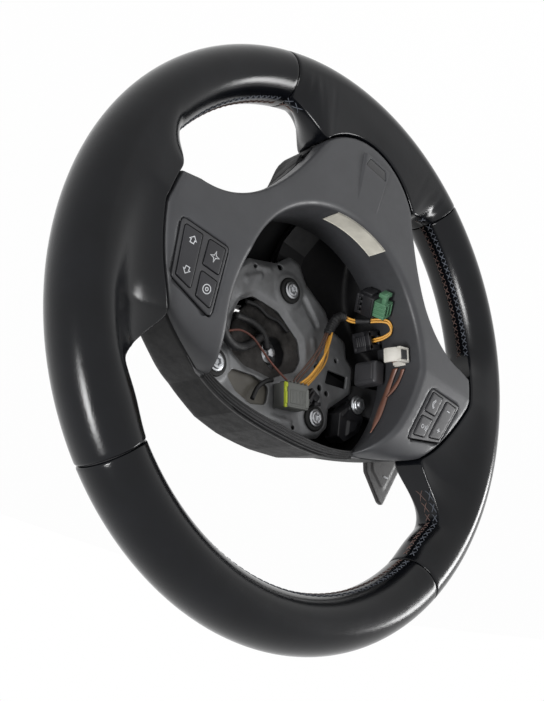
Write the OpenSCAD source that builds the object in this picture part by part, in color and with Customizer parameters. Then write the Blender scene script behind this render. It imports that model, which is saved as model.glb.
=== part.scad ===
// Three-spoke car steering wheel with its airbag taken out.
// The steering axis lies along Y. The driver looks along +Y at the face, +Z is twelve o'clock
// and +X is the driver's right. The origin is the middle of the shaft bore.

/* [Rim] */
// Outside diameter of the rim
rim_d = 370; // [350:1:390]
// Width of the grip, seen from the driver's seat
grip_w = 33.4; // [30:0.2:36]
// Depth of the grip along the steering axis
grip_d = 40; // [36:0.5:42]
// Thickness of the leather
leather_t = 1.4; // [1:0.1:1.8]
// Diameter of the steel ring inside the rim
core_d = 13; // [10:0.5:16]
// Height of the thumb rests over the grip
thumb_rise = 2.5; // [0:0.5:4]
// Distance from the rim's middle plane back to the middle of the shaft bore
dish_depth = 70; // [68:0.5:74]

/* [Spokes] */
// Gap between the inside of the grip and the spoke cover's seam
seam_inset = 11.5; // [10:0.5:14]
// Height of the side spokes' lower edge, below the axis
spoke_low = 34; // [30:0.5:38]
// Height of the side spokes' upper edge, above the axis
spoke_high = 38; // [36:0.5:41]
// Width of the lower spoke at its seam
low_spoke_w = 90; // [84:1:96]
// Wall thickness of the spoke cover
trim_wall = 2.6; // [2:0.1:3]
// Radius of the rounded edge of the spoke cover
trim_edge_r = 4; // [2.5:0.5:5]
// Depth of the spoke cover's inner wall behind the rim's middle plane
skirt_y = 22; // [16:0.5:24]
// Thickness of that wall
skirt_t = 2; // [1.6:0.1:2.4]

/* [Hub] */
// Radius of the round hub opening
opening_r = 81; // [79:0.5:82]
// Height of the hub opening's flat upper side
opening_top = 56; // [54:0.5:58]
// Wall thickness of the rear cover
cover_wall = 2.6; // [2:0.1:3]
// Radius of the rear cover's round collar opening
collar_r = 37; // [34:0.5:39]
// Length of the collar
collar_len = 7; // [4:0.5:9]
// Radius of the shaft bore
bore_r = 8.6; // [8:0.1:9.5]
// Length of the shaft bore
bore_len = 24; // [22:0.5:26]
// Outside radius of the steel bore bush
bush_r = 14; // [12.5:0.5:15]

/* [Carrier plate] */
// Thickness of the carrier plate
plate_t = 2.4; // [2:0.1:2.6]
// Room between the carrier plate's front face and the shaft bush behind it
plate_gap = 15; // [14:0.2:16]
// Height of the two upper fixing screws above the axis
screw_up_z = 30; // [29:0.5:31]
// Half distance between the two upper fixing screws
screw_up_x = 45.5; // [44:0.5:47]
// Distance of the lower fixing screw below the axis
screw_low_z = 45.5; // [44:0.5:47]
// Radius of the rubber bushes
rubber_r = 9; // [8:0.5:9.5]

/* [Switches] */
// Tilt of the switch faces towards the driver
switch_tilt = 13.5; // [12:0.5:15]
// Gap round each key
key_gap = 0.4; // [0.3:0.05:0.5]
// Height of the keys over their frame
key_rise = 0.7; // [0.4:0.1:1.2]
// Depth of the switch housing
switch_depth = 14; // [12:0.5:15]

/* [Shift paddles] */
// Thickness of the paddle blade
paddle_t = 3.4; // [3:0.1:4]
// Height of the paddle tips above the axis
paddle_tip_z = 61; // [58:0.5:64]
// Radius of the paddle hinge pins
paddle_pin_r = 1.5; // [1.2:0.1:1.8]

/* [Hidden] */
$fn = 48;
rim_r = rim_d / 2;
half_w = grip_w / 2;
half_d = grip_d / 2;
ring_r = rim_r - half_w;
rim_in = ring_r - half_w;
seam_r = rim_in - seam_inset;
seat = 0.3;
fit = 0.05;
foam_gap = 0.7;
past_end = 0.2;
plate_y = dish_depth - bore_len / 2 - plate_gap;
seam_gap = 0.5;
seam_up = 45;
seam_low = -60;

// Helpers

function flatten(l) = [for (a = l) for (b = a) b];
function mix(a, b, k) = a + (b - a) * k;
function ease(x) = let (c = min(1, max(0, x))) c * c * (3 - 2 * c);
function reversed(l) = [for (i = [len(l) - 1:-1:0]) l[i]];
function pol(r, t) = [r * cos(t), r * sin(t)];
function span(a, b, n) = [for (i = [0:n]) a + (b - a) * i / n];
function quad_curve(a, b, c, n) = [for (i = [0:n])
    let (k = i / n) a * (1 - k) * (1 - k) + b * 2 * k * (1 - k) + c * k * k];
function cubic(a, b, c, d, k) = a * pow(1 - k, 3) + b * 3 * k * pow(1 - k, 2)
    + c * 3 * k * k * (1 - k) + d * pow(k, 3);

// Distance from the axis to a closed outline along the ray at angle t
function ray_hit(pts, t) = max([for (i = [0:len(pts) - 1])
    let (a = pts[i], b = pts[(i + 1) % len(pts)], c = cos(t), s = sin(t),
        da = a[1] * c - a[0] * s, db = b[1] * c - b[0] * s)
    (da * db <= 0 && da != db)
        ? let (k = da / (da - db), p = mix(a, b, k)) p[0] * c + p[1] * s : 0]);

// A closed skin over stations of points, open ended with flat caps or wrapped into a ring
function skin_faces(n, m, wrap) = let (last = wrap ? n - 1 : n - 2)
    concat(
        [for (i = [0:last]) for (j = [0:m - 1])
            let (i2 = (i + 1) % n, j2 = (j + 1) % m)
            each [[i * m + j, i * m + j2, i2 * m + j2], [i * m + j, i2 * m + j2, i2 * m + j]]],
        wrap ? [] : [[for (j = [0:m - 1]) m - 1 - j], [for (j = [0:m - 1]) (n - 1) * m + j]]);
module skin(stations, wrap = false) {
    polyhedron(points = flatten(stations),
        faces = skin_faces(len(stations), len(stations[0]), wrap), convexity = 10);
}

// Everything in front is drawn about the rim's middle plane
module dish() { translate([0, -dish_depth, 0]) children(); }
// A flat shape drawn in x and z, run from depth y0 to y1
module plan(y0, y1) { translate([0, y1, 0]) rotate([90, 0, 0]) linear_extrude(y1 - y0) children(); }
// A profile in radius and depth turned about the steering axis
module turned() { rotate([-90, 0, 0]) rotate_extrude($fn = 96) children(); }
module on_axis(x, z, y0, y1, r) {
    translate([x, y1, z]) rotate([90, 0, 0]) cylinder(h = y1 - y0, r = r, $fn = 32);
}

// Spoke cover outline, seen from the driver's seat

seam_side = function (t) seam_r - max(0, t + 4) * 0.97;
seam_low_r = seam_r + 2;
seam_bottom = function (t) seam_low_r - 0.035 * pow(t + 90, 2);
low_edge_t = asin(low_spoke_w / 2 / (seam_low_r - 14));
side_low_t = -asin(spoke_low / seam_r) + 1.2;
side_high_t = 18.6;
low_corner = pol(seam_bottom(-90 + low_edge_t), -90 + low_edge_t);
side_corner = pol(seam_side(side_low_t), side_low_t);
high_corner = pol(seam_side(side_high_t), side_high_t);
tip = pol(opening_r + 1.2, 39);
function mirrored(p) = [for (i = [len(p) - 1:-1:0]) [-p[i][0], p[i][1]]];
half_outline = concat(
    [for (t = span(-86, -90 + low_edge_t, 4)) pol(seam_bottom(t), t)],
    quad_curve(low_corner, [opening_r - 3, -spoke_low - 2], [side_corner[0] - 12, -spoke_low], 8),
    [for (t = span(side_low_t, side_high_t, 6)) pol(seam_side(t), t)],
    quad_curve(high_corner, [opening_r + 13, spoke_high + 9.5], tip, 3));
trim_outline = concat([[0, -seam_low_r]], half_outline,
    [[36, opening_top + 6], [14, opening_top + 8.5]],
    [[-14, opening_top + 8.5], [-36, opening_top + 6]], mirrored(half_outline));
function outline_r(t) = ray_hit(trim_outline, t);

// Depth of the spoke cover's face by height, negative towards the driver
slope = tan(switch_tilt);
face_mid_z = 11;
face_mid_y = -10.6;
ridge_z = -14;
roll_z = 26;
roll_r = 33;
roll_y = face_mid_y + slope * (roll_z - face_mid_z);
roll_cz = roll_z - roll_r * sin(switch_tilt);
roll_cy = roll_y + roll_r * cos(switch_tilt);
ridge_y = face_mid_y + slope * (ridge_z - face_mid_z);
function face_y(z) =
    z < -60 ? mix(ridge_y + 1.6, -17.4, (-60 - z) / (seam_low_r - 60)) :
    z < ridge_z ? mix(ridge_y + 1.6, ridge_y, ease((z + 60) / (ridge_z + 60))) :
    z < roll_z ? face_mid_y + slope * (z - face_mid_z) :
    z < roll_cz + roll_r * 0.985
        ? roll_cy - sqrt(roll_r * roll_r - pow(z - roll_cz, 2))
        : roll_cy - roll_r * 0.172 + (z - roll_cz - roll_r * 0.985) * 1.2;
// Depth of the joint between the spoke cover and the rear cover
function joint_y(z) = let (c = min(z, opening_top - 6)) face_y(c) + mix(14, 4, ease((c - 5) / 32));

// Opening in the spoke cover: round, with a flat top that the rear cover closes
open_end = 37.5;
function opening_at(t) = let (top = opening_top / max(0.2, sin(t)))
    (t > open_end && t < 180 - open_end) ? min(opening_r, top) : opening_r;
module opening_shape(inset = 0) {
    polygon([for (t = [0:5:355]) pol(opening_at(t) - inset, t)]);
}

// Rim sections. Section angle 0 points to the axis, 90 to the back, -90 to the driver.

section_q = [-180, -157, -135, -115, -98, -82, -67, -54, -42, -31, -20, 0,
    20, 33, 46, 60, 75, 90, 107, 130, 155];
coarse_q = [-180, -145, -112, -85, -58, -35, -15, 15, 40, 68, 100, 140];
function thumb(t) = let (d = abs(abs(t - 90) - 53)) thumb_rise * ease(1 - d / 8);
// How far the section is drawn into a spoke, 0 for plain rim and 1 in the spoke
function into_side(t) = ease((t - side_low_t + 10) / 10) * ease((side_high_t + 13 - t) / 13);
function into_low(t) = ease(1 - (abs(t + 90) - low_edge_t) / 10);
function fold(t) = t > 90 ? 180 - t : t < -90 ? -180 - t : t;
function into_spoke(t) = let (f = fold(t)) max(into_side(f), into_low(f));
// The angle on a spoke whose seam the sleeve is drawn to
function seam_t(t) = let (f = fold(t)) f > -45 ? min(side_high_t, max(side_low_t, f))
    : min(-90 + low_edge_t, max(-90 - low_edge_t, f));
function spoke_seam(t) = let (s = seam_t(t)) s > -45 ? seam_side(s) : seam_bottom(s);
function plain_pt(q, off) = [(half_w - off) * cos(q), (half_d - off) * sin(q)];
function nose_pt(t, q, off) =
    let (u_end = ring_r - spoke_seam(t) - seat - off,
        y_f = face_y(spoke_seam(t) * sin(seam_t(t))) + off,
        y_b = 22 - off,
        a = half_w - off,
        b = half_d - off)
    abs(q) > 90 ? plain_pt(q, off) :
    q <= -20 ? let (k = (q + 90) / 70)
        [cubic(0, 14, 16, u_end, k), cubic(-b, -b + 1, -7, y_f, k)] :
    q < 20 ? [u_end, mix(y_f, y_b, (q + 20) / 40)] :
    let (k = (90 - q) / 70) [cubic(0, 10, 18, u_end, k), cubic(b, b, y_b - 1, y_b, k)];
function rim_pt(t, q, off) =
    let (w = into_spoke(t),
        p = mix(plain_pt(q, off), nose_pt(t, q, off), w),
        r = ring_r - p[0] - thumb(t) * max(0, cos(q)) * (1 - w))
    [r * cos(t), p[1], r * sin(t)];
function rim_skin(angles, qs, off) = [for (t = angles) [for (q = qs) rim_pt(t, q, off)]];

side_angles = concat(span(seam_low, -36, 4), span(-31, -24, 2), span(-21, -11, 4),
    [-6, 0, 6, 12, 16], span(19, 32, 5), [36, 40, 45]);
low_angles = concat([-120, -117], span(-114, -103, 4), [-97, -90, -83], span(-77, -66, 4), [-63, -60]);
function flip_angles(a) = [for (i = [len(a) - 1:-1:0]) 180 - a[i]];

module rim_solid(angles, qs, off, wrap = false) { skin(rim_skin(angles, qs, off), wrap); }

module leather_color() { color("#1b1c20") children(); }

// One leather section: a sewn sleeve round the foam, drawn over its spoke
module leather_piece(angles) {
    last = len(angles) - 1;
    inner = [for (i = [0:last]) angles[i] + (i == 0 ? -past_end : i == last ? past_end : 0)];
    leather_color() dish() difference() {
        rim_solid(angles, section_q, 0);
        rim_solid(inner, coarse_q, leather_t);
        spoke_slots();
    }
}
// Slots in foam and leather where the cast spokes enter the rim
module spoke_slots() {
    for (t = [0, 180, -90])
        rotate([0, -t, 0]) translate([seam_r - 30, -7, -16]) cube([ring_r - seam_r + 30, 24, 32]);
}

module leather_right() { leather_piece(side_angles); }
module leather_left() { leather_piece(flip_angles(side_angles)); }
module leather_bottom() { leather_piece(low_angles); }
module leather_top() {
    leather_color() dish() rotate([0, -seam_up, 0]) rotate([90, 0, 0])
        rotate_extrude(angle = 180 - 2 * seam_up, $fn = 96) difference() {
            polygon([for (q = section_q) [ring_r, 0] + [-plain_pt(q, 0)[0], -plain_pt(q, 0)[1]]]);
            polygon([for (q = section_q)
                [ring_r, 0] + [-plain_pt(q, leather_t)[0], -plain_pt(q, leather_t)[1]]]);
        }
}

function inner_of(a) = [for (i = [1:len(a) - 2]) a[i]];
foam_angles = concat([seam_low], inner_of(side_angles), span(seam_up, 180 - seam_up, 10),
    inner_of(flip_angles(side_angles)), [for (t = concat([seam_low - 60], inner_of(low_angles))) t + 360]);
module rim_foam() {
    color("#3a3a3c") dish() difference() {
        rim_solid(foam_angles, coarse_q, leather_t + foam_gap, wrap = true);
        core_ring(fit);
        spoke_slots();
    }
}

// Steel ring in the rim, and the casting on it: three dished spokes and the hub plate with its boss

hub_front = plate_y + plate_t + 4.4;
hub_back = hub_front + 9;
boss_back = dish_depth + bore_len / 2;
boss_r = bush_r + 9;
spoke_t = 22;
arm_r = mix(opening_r, seam_r, 0.54);
// Depth at radius r that leaves some room in front of the rear cover's wall
function arm_back(r, room) = min(hub_back, back_y(r) - cover_wall - room);
module spoke_profile() {
    polygon([[bush_r + 2, hub_front], [opening_r - 9, hub_front], [opening_r, hub_front - 2],
        [arm_r - 1, arm_back(arm_r, 8.2) - 9], [seam_r, 0], [ring_r, -core_d / 2 + 1.5],
        [ring_r, core_d / 2 - 1.5], [seam_r + 2, 11], [arm_r + 1, arm_back(arm_r + 1, 7.7)],
        [opening_r + 7, arm_back(opening_r + 7, 2.3)], [opening_r - 5, arm_back(opening_r - 5, 4.1)],
        [opening_r - 19, arm_back(opening_r - 19, 5)], [bush_r + 2, hub_back]]);
}
module spoke_pocket() {
    polygon([[opening_r - 23, hub_front + 3], [opening_r - 7, hub_front + 2.6],
        [opening_r + 9, arm_back(opening_r + 9, 8.2)], [arm_r + 1, arm_back(arm_r + 1, 14.2)],
        [seam_r - 6, 5.5], [seam_r - 6, 8.5], [arm_r, arm_back(arm_r, 11.3)],
        [opening_r + 7, arm_back(opening_r + 7, 6.3)], [opening_r - 7, arm_back(opening_r - 7, 6.5)],
        [opening_r - 23, hub_back - 3]]);
}
module cast_spoke(t) {
    rotate([0, -t, 0]) translate([0, 0, -spoke_t / 2]) difference() {
        linear_extrude(spoke_t) spoke_profile();
        translate([0, 0, -1]) linear_extrude(spoke_t / 2 - 1) spoke_pocket();
        translate([0, 0, spoke_t / 2 + 2]) linear_extrude(spoke_t / 2) spoke_pocket();
    }
}
module screw_places() {
    for (p = [[screw_up_x, screw_up_z], [-screw_up_x, screw_up_z], [0, -screw_low_z]])
        translate([p[0], 0, p[1]]) children();
}
module core_ring(grow = 0) {
    turned() translate([ring_r, 0]) circle(d = core_d + 2 * grow, $fn = 32);
}
module rim_core() { color("#a3a5a8") dish() core_ring(); }
module armature() {
    color("#8d8f92") dish() difference() {
        union() {
            for (t = [0, 180, -90]) cast_spoke(t);
            plan(hub_front, hub_back) difference() {
                hull() {
                    for (p = [[screw_up_x, screw_up_z], [-screw_up_x, screw_up_z], [0, -screw_low_z]])
                        translate(p) circle(r = 10, $fn = 32);
                }
                for (p = [[24, -14], [-24, -14], [0, 31]]) translate(p) circle(r = 7, $fn = 24);
            }
            on_axis(0, 0, hub_front, boss_back, boss_r);
        }
        core_ring(fit);
        on_axis(0, 0, hub_front - 1, boss_back + 1, bush_r);
        screw_places() on_axis(0, 0, hub_front - 1, hub_back + 1, 3 + fit);
    }
}
// Steel bush in the hub, which grips the steering shaft
module bore_bush() {
    color("#c4c6c8") dish() turned()
        polygon([[bore_r, dish_depth - bore_len / 2], [bush_r - fit, dish_depth - bore_len / 2],
            [bush_r - fit, boss_back], [bore_r, boss_back]]);
}

// Spoke cover: one moulded shell in the shape of a C with three arms

trim_low_t = -180 - open_end;
arm_stations = concat([trim_low_t, -214, -208, -203], span(-198.6, -168, 6),
    span(-164, -112, 11), span(-107, -73, 8), span(-68, -16, 11), span(-12, 18.6, 6), [23, 28, 34, open_end]);
// Section of the shell at one angle: over the face, round both edges and down the inner wall
function trim_section(t) =
    let (ri = opening_at(t) + 0.2, ro = outline_r(t) - seam_gap,
        zo = ro * sin(t),
        deep = joint_y(zo) - face_y(zo) - seat,
        e = min(trim_edge_r, (ro - ri) * 0.3, deep * 0.5),
        w = min(trim_wall, (ro - ri) * 0.25),
        s = min(skirt_t, (ro - ri) * 0.3),
        edge_y = joint_y(ri * sin(t)) - seat,
        end_y = ro - ri < 8 ? edge_y : max(skirt_y, edge_y),
        under = min(w + 1, (end_y - face_y(ri * sin(t))) * 0.5),
        at = function (r, drop) [r * cos(t), face_y(r * sin(t)) + drop, r * sin(t)],
        base = function (r) [r * cos(t), joint_y(r * sin(t)) - seat, r * sin(t)],
        down = function (r) [r * cos(t), end_y, r * sin(t)])
    reversed(concat(
        [at(ri, e * 0.45), at(ri + e * 0.35, e * 0.1), at(ri + e, 0)],
        [for (k = [0.25, 0.5, 0.75]) at(mix(ri + e, ro - e, k), 0)],
        [at(ro - e, 0), at(ro - e * 0.3, e * 0.3), at(ro, e)],
        [base(ro), base(ro - w)],
        [at(ro - w, min(e + w * 0.6, deep - 0.3))],
        [for (k = [0.7, 0.3]) at(mix(ri + e, ro - e, k), w)],
        [at(ri + e + s, w), at(ri + s, under), down(ri + s), down(ri)]));
module trim_shell() { skin([for (t = arm_stations) trim_section(t)]); }

// Place a thing on a switch face: x outwards along the spoke, y up the face, z out of it
switch_x = seam_r - 32.1;
module on_switch(side) {
    mirror([side < 0 ? 1 : 0, 0, 0]) translate([switch_x, face_mid_y, face_mid_z])
        rotate([90 - switch_tilt, 0, 0]) children();
}
bezel_pts = [[-12.8, -17.6], [20, -17.6], [12, 13], [-19.5, 21.4]];
star_pts = [[-10.9, -15.6], [0.4, -15.4], [-1.9, -1.6], [-13.4, -1.2]];
round_pts = [[-14, 2.6], [-2.6, 1.8], [-5.6, 15.2], [-16.6, 17.4]];
rocker_pts = [[5.2, -15.2], [17, -15], [10.2, 11], [-1, 13.6]];
rocker_axis_y = -1;
badge_z = -(seam_low_r - 17);
badge_w = 21;
badge_h = 7;

module badge_place() {
    translate([0, face_y(badge_z), badge_z]) rotate([90, 0, 0]) children();
}
module badge_shape(grow = 0) {
    polygon([[-badge_w / 2 - grow, badge_h / 2 + grow], [-badge_w / 2 + 2.5 - grow, -badge_h / 2 - grow],
        [badge_w / 2 - 2.5 + grow, -badge_h / 2 - grow], [badge_w / 2 + grow, badge_h / 2 + grow]]);
}
// Ridge round the badge that runs out towards the hub
module badge_wedge() {
    badge_place() difference() {
        translate([0, 0, -1.6]) linear_extrude(2.4)
            polygon([[-badge_w / 2 - 3, badge_h / 2 + 12], [-badge_w / 2 - 2, -badge_h / 2 - 2],
                [badge_w / 2 + 2, -badge_h / 2 - 2], [badge_w / 2 + 3, badge_h / 2 + 12]]);
        translate([0, badge_h / 2 + 12, 2.5]) rotate([-8, 0, 0]) cube([badge_w + 20, 40, 4], center = true);
    }
}
module trim_boss(x, z) {
    on_axis(x, z, face_y(z) + 1, joint_y(z) + 3, 3.6);
}
half_bosses = [pol(opening_r + 16, -14.3), pol(mix(opening_r, seam_low_r, 0.573), -75)];
boss_places = concat(half_bosses, mirrored(half_bosses));
module front_trim() {
    color("#3a3b3e") dish() difference() {
        union() {
            trim_shell();
            badge_wedge();
            for (p = boss_places) trim_boss(p[0], p[1]);
        }
        for (side = [1, -1]) on_switch(side)
            translate([0, 0, -switch_depth - 4]) linear_extrude(switch_depth + 10)
                polygon([for (p = bezel_pts) p * 1.015]);
        badge_place() translate([0, 0, -0.9]) linear_extrude(4) badge_shape(0.1);
        for (p = boss_places) on_axis(p[0], p[1], face_y(p[1]) + 3, joint_y(p[1]) + 4, 1.4);
    }
}
module badge_insert() {
    color("#1a1a1d") dish() badge_place() translate([0, 0, -0.85]) linear_extrude(1.5) badge_shape();
}
module trim_screws() {
    color("#9a9c9e") dish() for (p = boss_places) {
        on_axis(p[0], p[1], face_y(p[1]) + 5, joint_y(p[1]) + 4, 1.3);
        on_axis(p[0], p[1], joint_y(p[1]) + 3 + seat, joint_y(p[1]) + 5.3, 3);
    }
}

// Rear cover: a deep moulded shell behind the hub and the three spokes

// The shell rises from its edge at the rim to the collar, which stands behind the shaft bore
edge_back_y = 25;
collar_y = dish_depth + 8;
back_share = [[0, 1], [0.107, 0.98], [0.184, 0.906], [0.242, 0.811], [0.32, 0.736], [0.417, 0.67],
    [0.514, 0.547], [0.611, 0.396], [0.805, 0.16], [1, 0]];
function back_y(r) = mix(edge_back_y, collar_y, lookup((r - collar_r) / (seam_r - collar_r), back_share));
cover_stations = concat(arm_stations, span(46, 134, 8));
function cover_section(t) =
    let (ro = outline_r(t) - seat, w = cover_wall,
        bulge = 3.5 * ease((t - 20) / 25) * ease((160 - t) / 25),
        yj = joint_y(ro * sin(t)),
        at = function (r, y) [r * cos(t), y, r * sin(t)],
        yb = back_y(ro),
        rk = function (k) mix(collar_r, ro - 7, k))
    reversed([at(ro, yj), at(ro + bulge * 0.6, mix(yj, yb, 0.3)), at(ro + bulge * 0.5, mix(yj, yb, 0.6)),
        at(ro - 0.6, yb - 6), at(ro - 2.6, yb - 2.2), at(rk(1), back_y(rk(1))),
        at(rk(0.7), back_y(rk(0.7))), at(rk(0.45), back_y(rk(0.45))), at(rk(0.2), back_y(rk(0.2))),
        at(collar_r + w, back_y(collar_r)), at(collar_r + w, back_y(collar_r) + collar_len),
        at(collar_r, back_y(collar_r) + collar_len), at(collar_r, back_y(collar_r) - w),
        at(rk(0.2), back_y(rk(0.2)) - w), at(rk(0.45), back_y(rk(0.45)) - w),
        at(rk(0.7) - 1, back_y(rk(0.7)) - w), at(rk(1) - 2, back_y(rk(1)) - w),
        at(ro - 2.6 - w, yb - 3.4 - w), at(ro + bulge * 0.5 - w, mix(yj, yb, 0.5)), at(ro - w, yj)]);
module top_flange() {
    flange_y = joint_y(opening_top);
    plan(flange_y, flange_y + cover_wall) difference() {
        polygon(concat([pol(opening_r - 2, 38)], [[36, opening_top + 4.5], [14, opening_top + 7]],
            [[-14, opening_top + 7], [-36, opening_top + 4.5]], [pol(opening_r - 2, 142)],
            [[-60, 30], [60, 30]]));
        opening_shape();
        translate([-70, -10]) square([140, 46]);
    }
}
cover_screw_places = [pol(collar_r + 9, 90), pol(opening_r - 13.8, -30.4), pol(opening_r - 13.8, -149.6)];
function screw_seat(p) = back_y(norm(p)) - 5;
module rear_cover() {
    color("#232427") dish() difference() {
        union() {
            skin([for (t = cover_stations) cover_section(t)], wrap = true);
            top_flange();
            for (p = cover_screw_places) on_axis(p[0], p[1], screw_seat(p) - 5, back_y(norm(p)), 7);
            for (side = [1, -1]) sided(side) translate([0, 0, pin_z - pin_len / 2 - 1])
                linear_extrude(pin_len + 2) slope_band(pad_half, -1, pad_rise);
        }
        for (p = cover_screw_places) {
            on_axis(p[0], p[1], 40, 90, 2.2);
            on_axis(p[0], p[1], screw_seat(p), 90, 5);
        }
        for (t = [0, 180, -90])
            rotate([0, -t, 0]) translate([seam_r - 20, -4, -spoke_t / 2 - 1.5]) cube([30, 25, spoke_t + 3]);
    }
}
module cover_screws() {
    color("#55575a") dish() for (p = cover_screw_places)
        let (y = screw_seat(p) + seat) {
            on_axis(p[0], p[1], y, y + 2.2, 4);
            on_axis(p[0], p[1], y - 12, y, 2);
        }
}

// Switch packs in the side spokes

module key_shape(pts, grow = 0) {
    c = (pts[0] + pts[1] + pts[2] + pts[3]) / 4;
    polygon([for (p = pts) p + grow * [sign(p[0] - c[0]), sign(p[1] - c[1])]]);
}
key_floor = 8;
module switch_frame(side, keys) {
    color("#2b2c2f") dish() on_switch(side) difference() {
        translate([0, 0, -switch_depth]) linear_extrude(switch_depth + 0.4) polygon(bezel_pts);
        for (pts = keys) translate([0, 0, -key_floor]) linear_extrude(key_floor + 2)
            key_shape(pts, key_gap);
        rocker_pin(fit);
    }
}
// Stub axles on which a rocker tilts in its frame
module rocker_pin(grow = 0) {
    translate([0.2 - grow, rocker_axis_y, -4]) rotate([0, 90, 0])
        cylinder(h = 14.8 + 2 * grow, r = 1 + grow, $fn = 24);
}
module key(side, pts) {
    color("#303134") dish() on_switch(side) difference() {
        translate([0, 0, -5.5]) linear_extrude(5.5 + 0.4 + key_rise) key_shape(pts);
        translate([0, 0, -6]) linear_extrude(4.4) key_shape(pts, -1.2);
    }
}
module rocker(side) {
    color("#303134") dish() on_switch(side) union() {
        difference() {
            translate([0, 0, -5.5]) linear_extrude(5.5 + 0.4 + key_rise) key_shape(rocker_pts);
            translate([0, 0, -6]) linear_extrude(3.6) key_shape(rocker_pts, -1.2);
        }
        rocker_pin();
    }
}
switch_keys = [rocker_pts, star_pts, round_pts];
module switch_frame_right() { switch_frame(1, switch_keys); }
module rocker_right() { rocker(1); }
module star_key() { key(1, star_pts); }
module round_key() { key(1, round_pts); }
module switch_frame_left() { switch_frame(-1, switch_keys); }
module rocker_left() { rocker(-1); }
module phone_key() { key(-1, star_pts); }
module speech_key() { key(-1, round_pts); }

// Shift paddles behind the side spokes

paddle_y = dish_depth - 21;
pin_x = seam_r - 28.1;
pin_y = paddle_y + paddle_t + 2.6;
pin_z = 4;
pin_len = 30;
module sided(side) { mirror([side < 0 ? 1 : 0, 0, 0]) children(); }
ear_t = 4;
ear_r = paddle_pin_r + 2.5;
pad_rise = 1.4;
pad_half = 10;
// Straight slope of the rear cover under a paddle
function pad_y(x) = mix(back_y(pin_x - pad_half), back_y(pin_x + pad_half), (x - pin_x + pad_half) / (2 * pad_half));
// A band along that slope, between two heights over the cover
module slope_band(half, low, high) {
    polygon([for (x = [-half, half]) [pin_x + x, pad_y(pin_x + x) + low], for (x = [half, -half])
        [pin_x + x, pad_y(pin_x + x) + high]]);
}
module bracket_ear() {
    polygon([[pin_x - ear_r, pad_y(pin_x - ear_r) + 2.5], [pin_x + ear_r, pad_y(pin_x + ear_r) + 2.5],
        [pin_x + ear_r, pin_y], [pin_x - ear_r, pin_y]]);
    translate([pin_x, pin_y]) circle(r = ear_r, $fn = 32);
}
module paddle_bracket(side) {
    color("#26272a") dish() sided(side) difference() {
        union() {
            translate([0, 0, pin_z - pin_len / 2]) linear_extrude(pin_len)
                slope_band(pad_half - 1, pad_rise + 0.1, pad_rise + 2.7);
            for (z = [pin_z - pin_len / 2, pin_z + pin_len / 2 - ear_t])
                translate([0, 0, z]) linear_extrude(ear_t) bracket_ear();
        }
        translate([pin_x, pin_y, pin_z - pin_len])
            cylinder(h = 2 * pin_len, r = paddle_pin_r + fit, $fn = 32);
    }
}
module paddle_pin(side) {
    color("#a5a7aa") dish() sided(side)
        translate([pin_x, pin_y, pin_z - pin_len / 2]) cylinder(h = pin_len, r = paddle_pin_r, $fn = 32);
}
blade_pts = [for (p = [[6, -10], [20, -10], [40, 6], [44, 20], [27, paddle_tip_z], [22, paddle_tip_z - 1],
    [3, paddle_tip_z - 18], [-2, 28], [-1, 21], [6, 20]]) p + [pin_x, 0]];
module paddle(side) {
    color("#3b3a3c") dish() sided(side) difference() {
        union() {
            plan(paddle_y, paddle_y + paddle_t) polygon(blade_pts);
            translate([pin_x, pin_y, pin_z - pin_len / 2 + ear_t + 0.4])
                cylinder(h = pin_len - 2 * ear_t - 0.8, r = ear_r - 0.4, $fn = 32);
            translate([pin_x, paddle_y, pin_z - pin_len / 2 + ear_t + 0.4])
                cube([8, paddle_t, pin_len - 2 * ear_t - 0.8]);
            translate([pin_x - 2, paddle_y + paddle_t - 1, pin_z - pin_len / 2 + ear_t + 0.4])
                cube([5, 3, pin_len - 2 * ear_t - 0.8]);
        }
        translate([pin_x, pin_y, pin_z - pin_len])
            cylinder(h = 2 * pin_len, r = paddle_pin_r + fit, $fn = 32);
    }
}
module paddle_bracket_right() { paddle_bracket(1); }
module paddle_pin_right() { paddle_pin(1); }
module paddle_right() { paddle(1); }
module paddle_bracket_left() { paddle_bracket(-1); }
module paddle_pin_left() { paddle_pin(-1); }
module paddle_left() { paddle(-1); }

// Pressed carrier plate in the hub, on three rubber bushes

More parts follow.
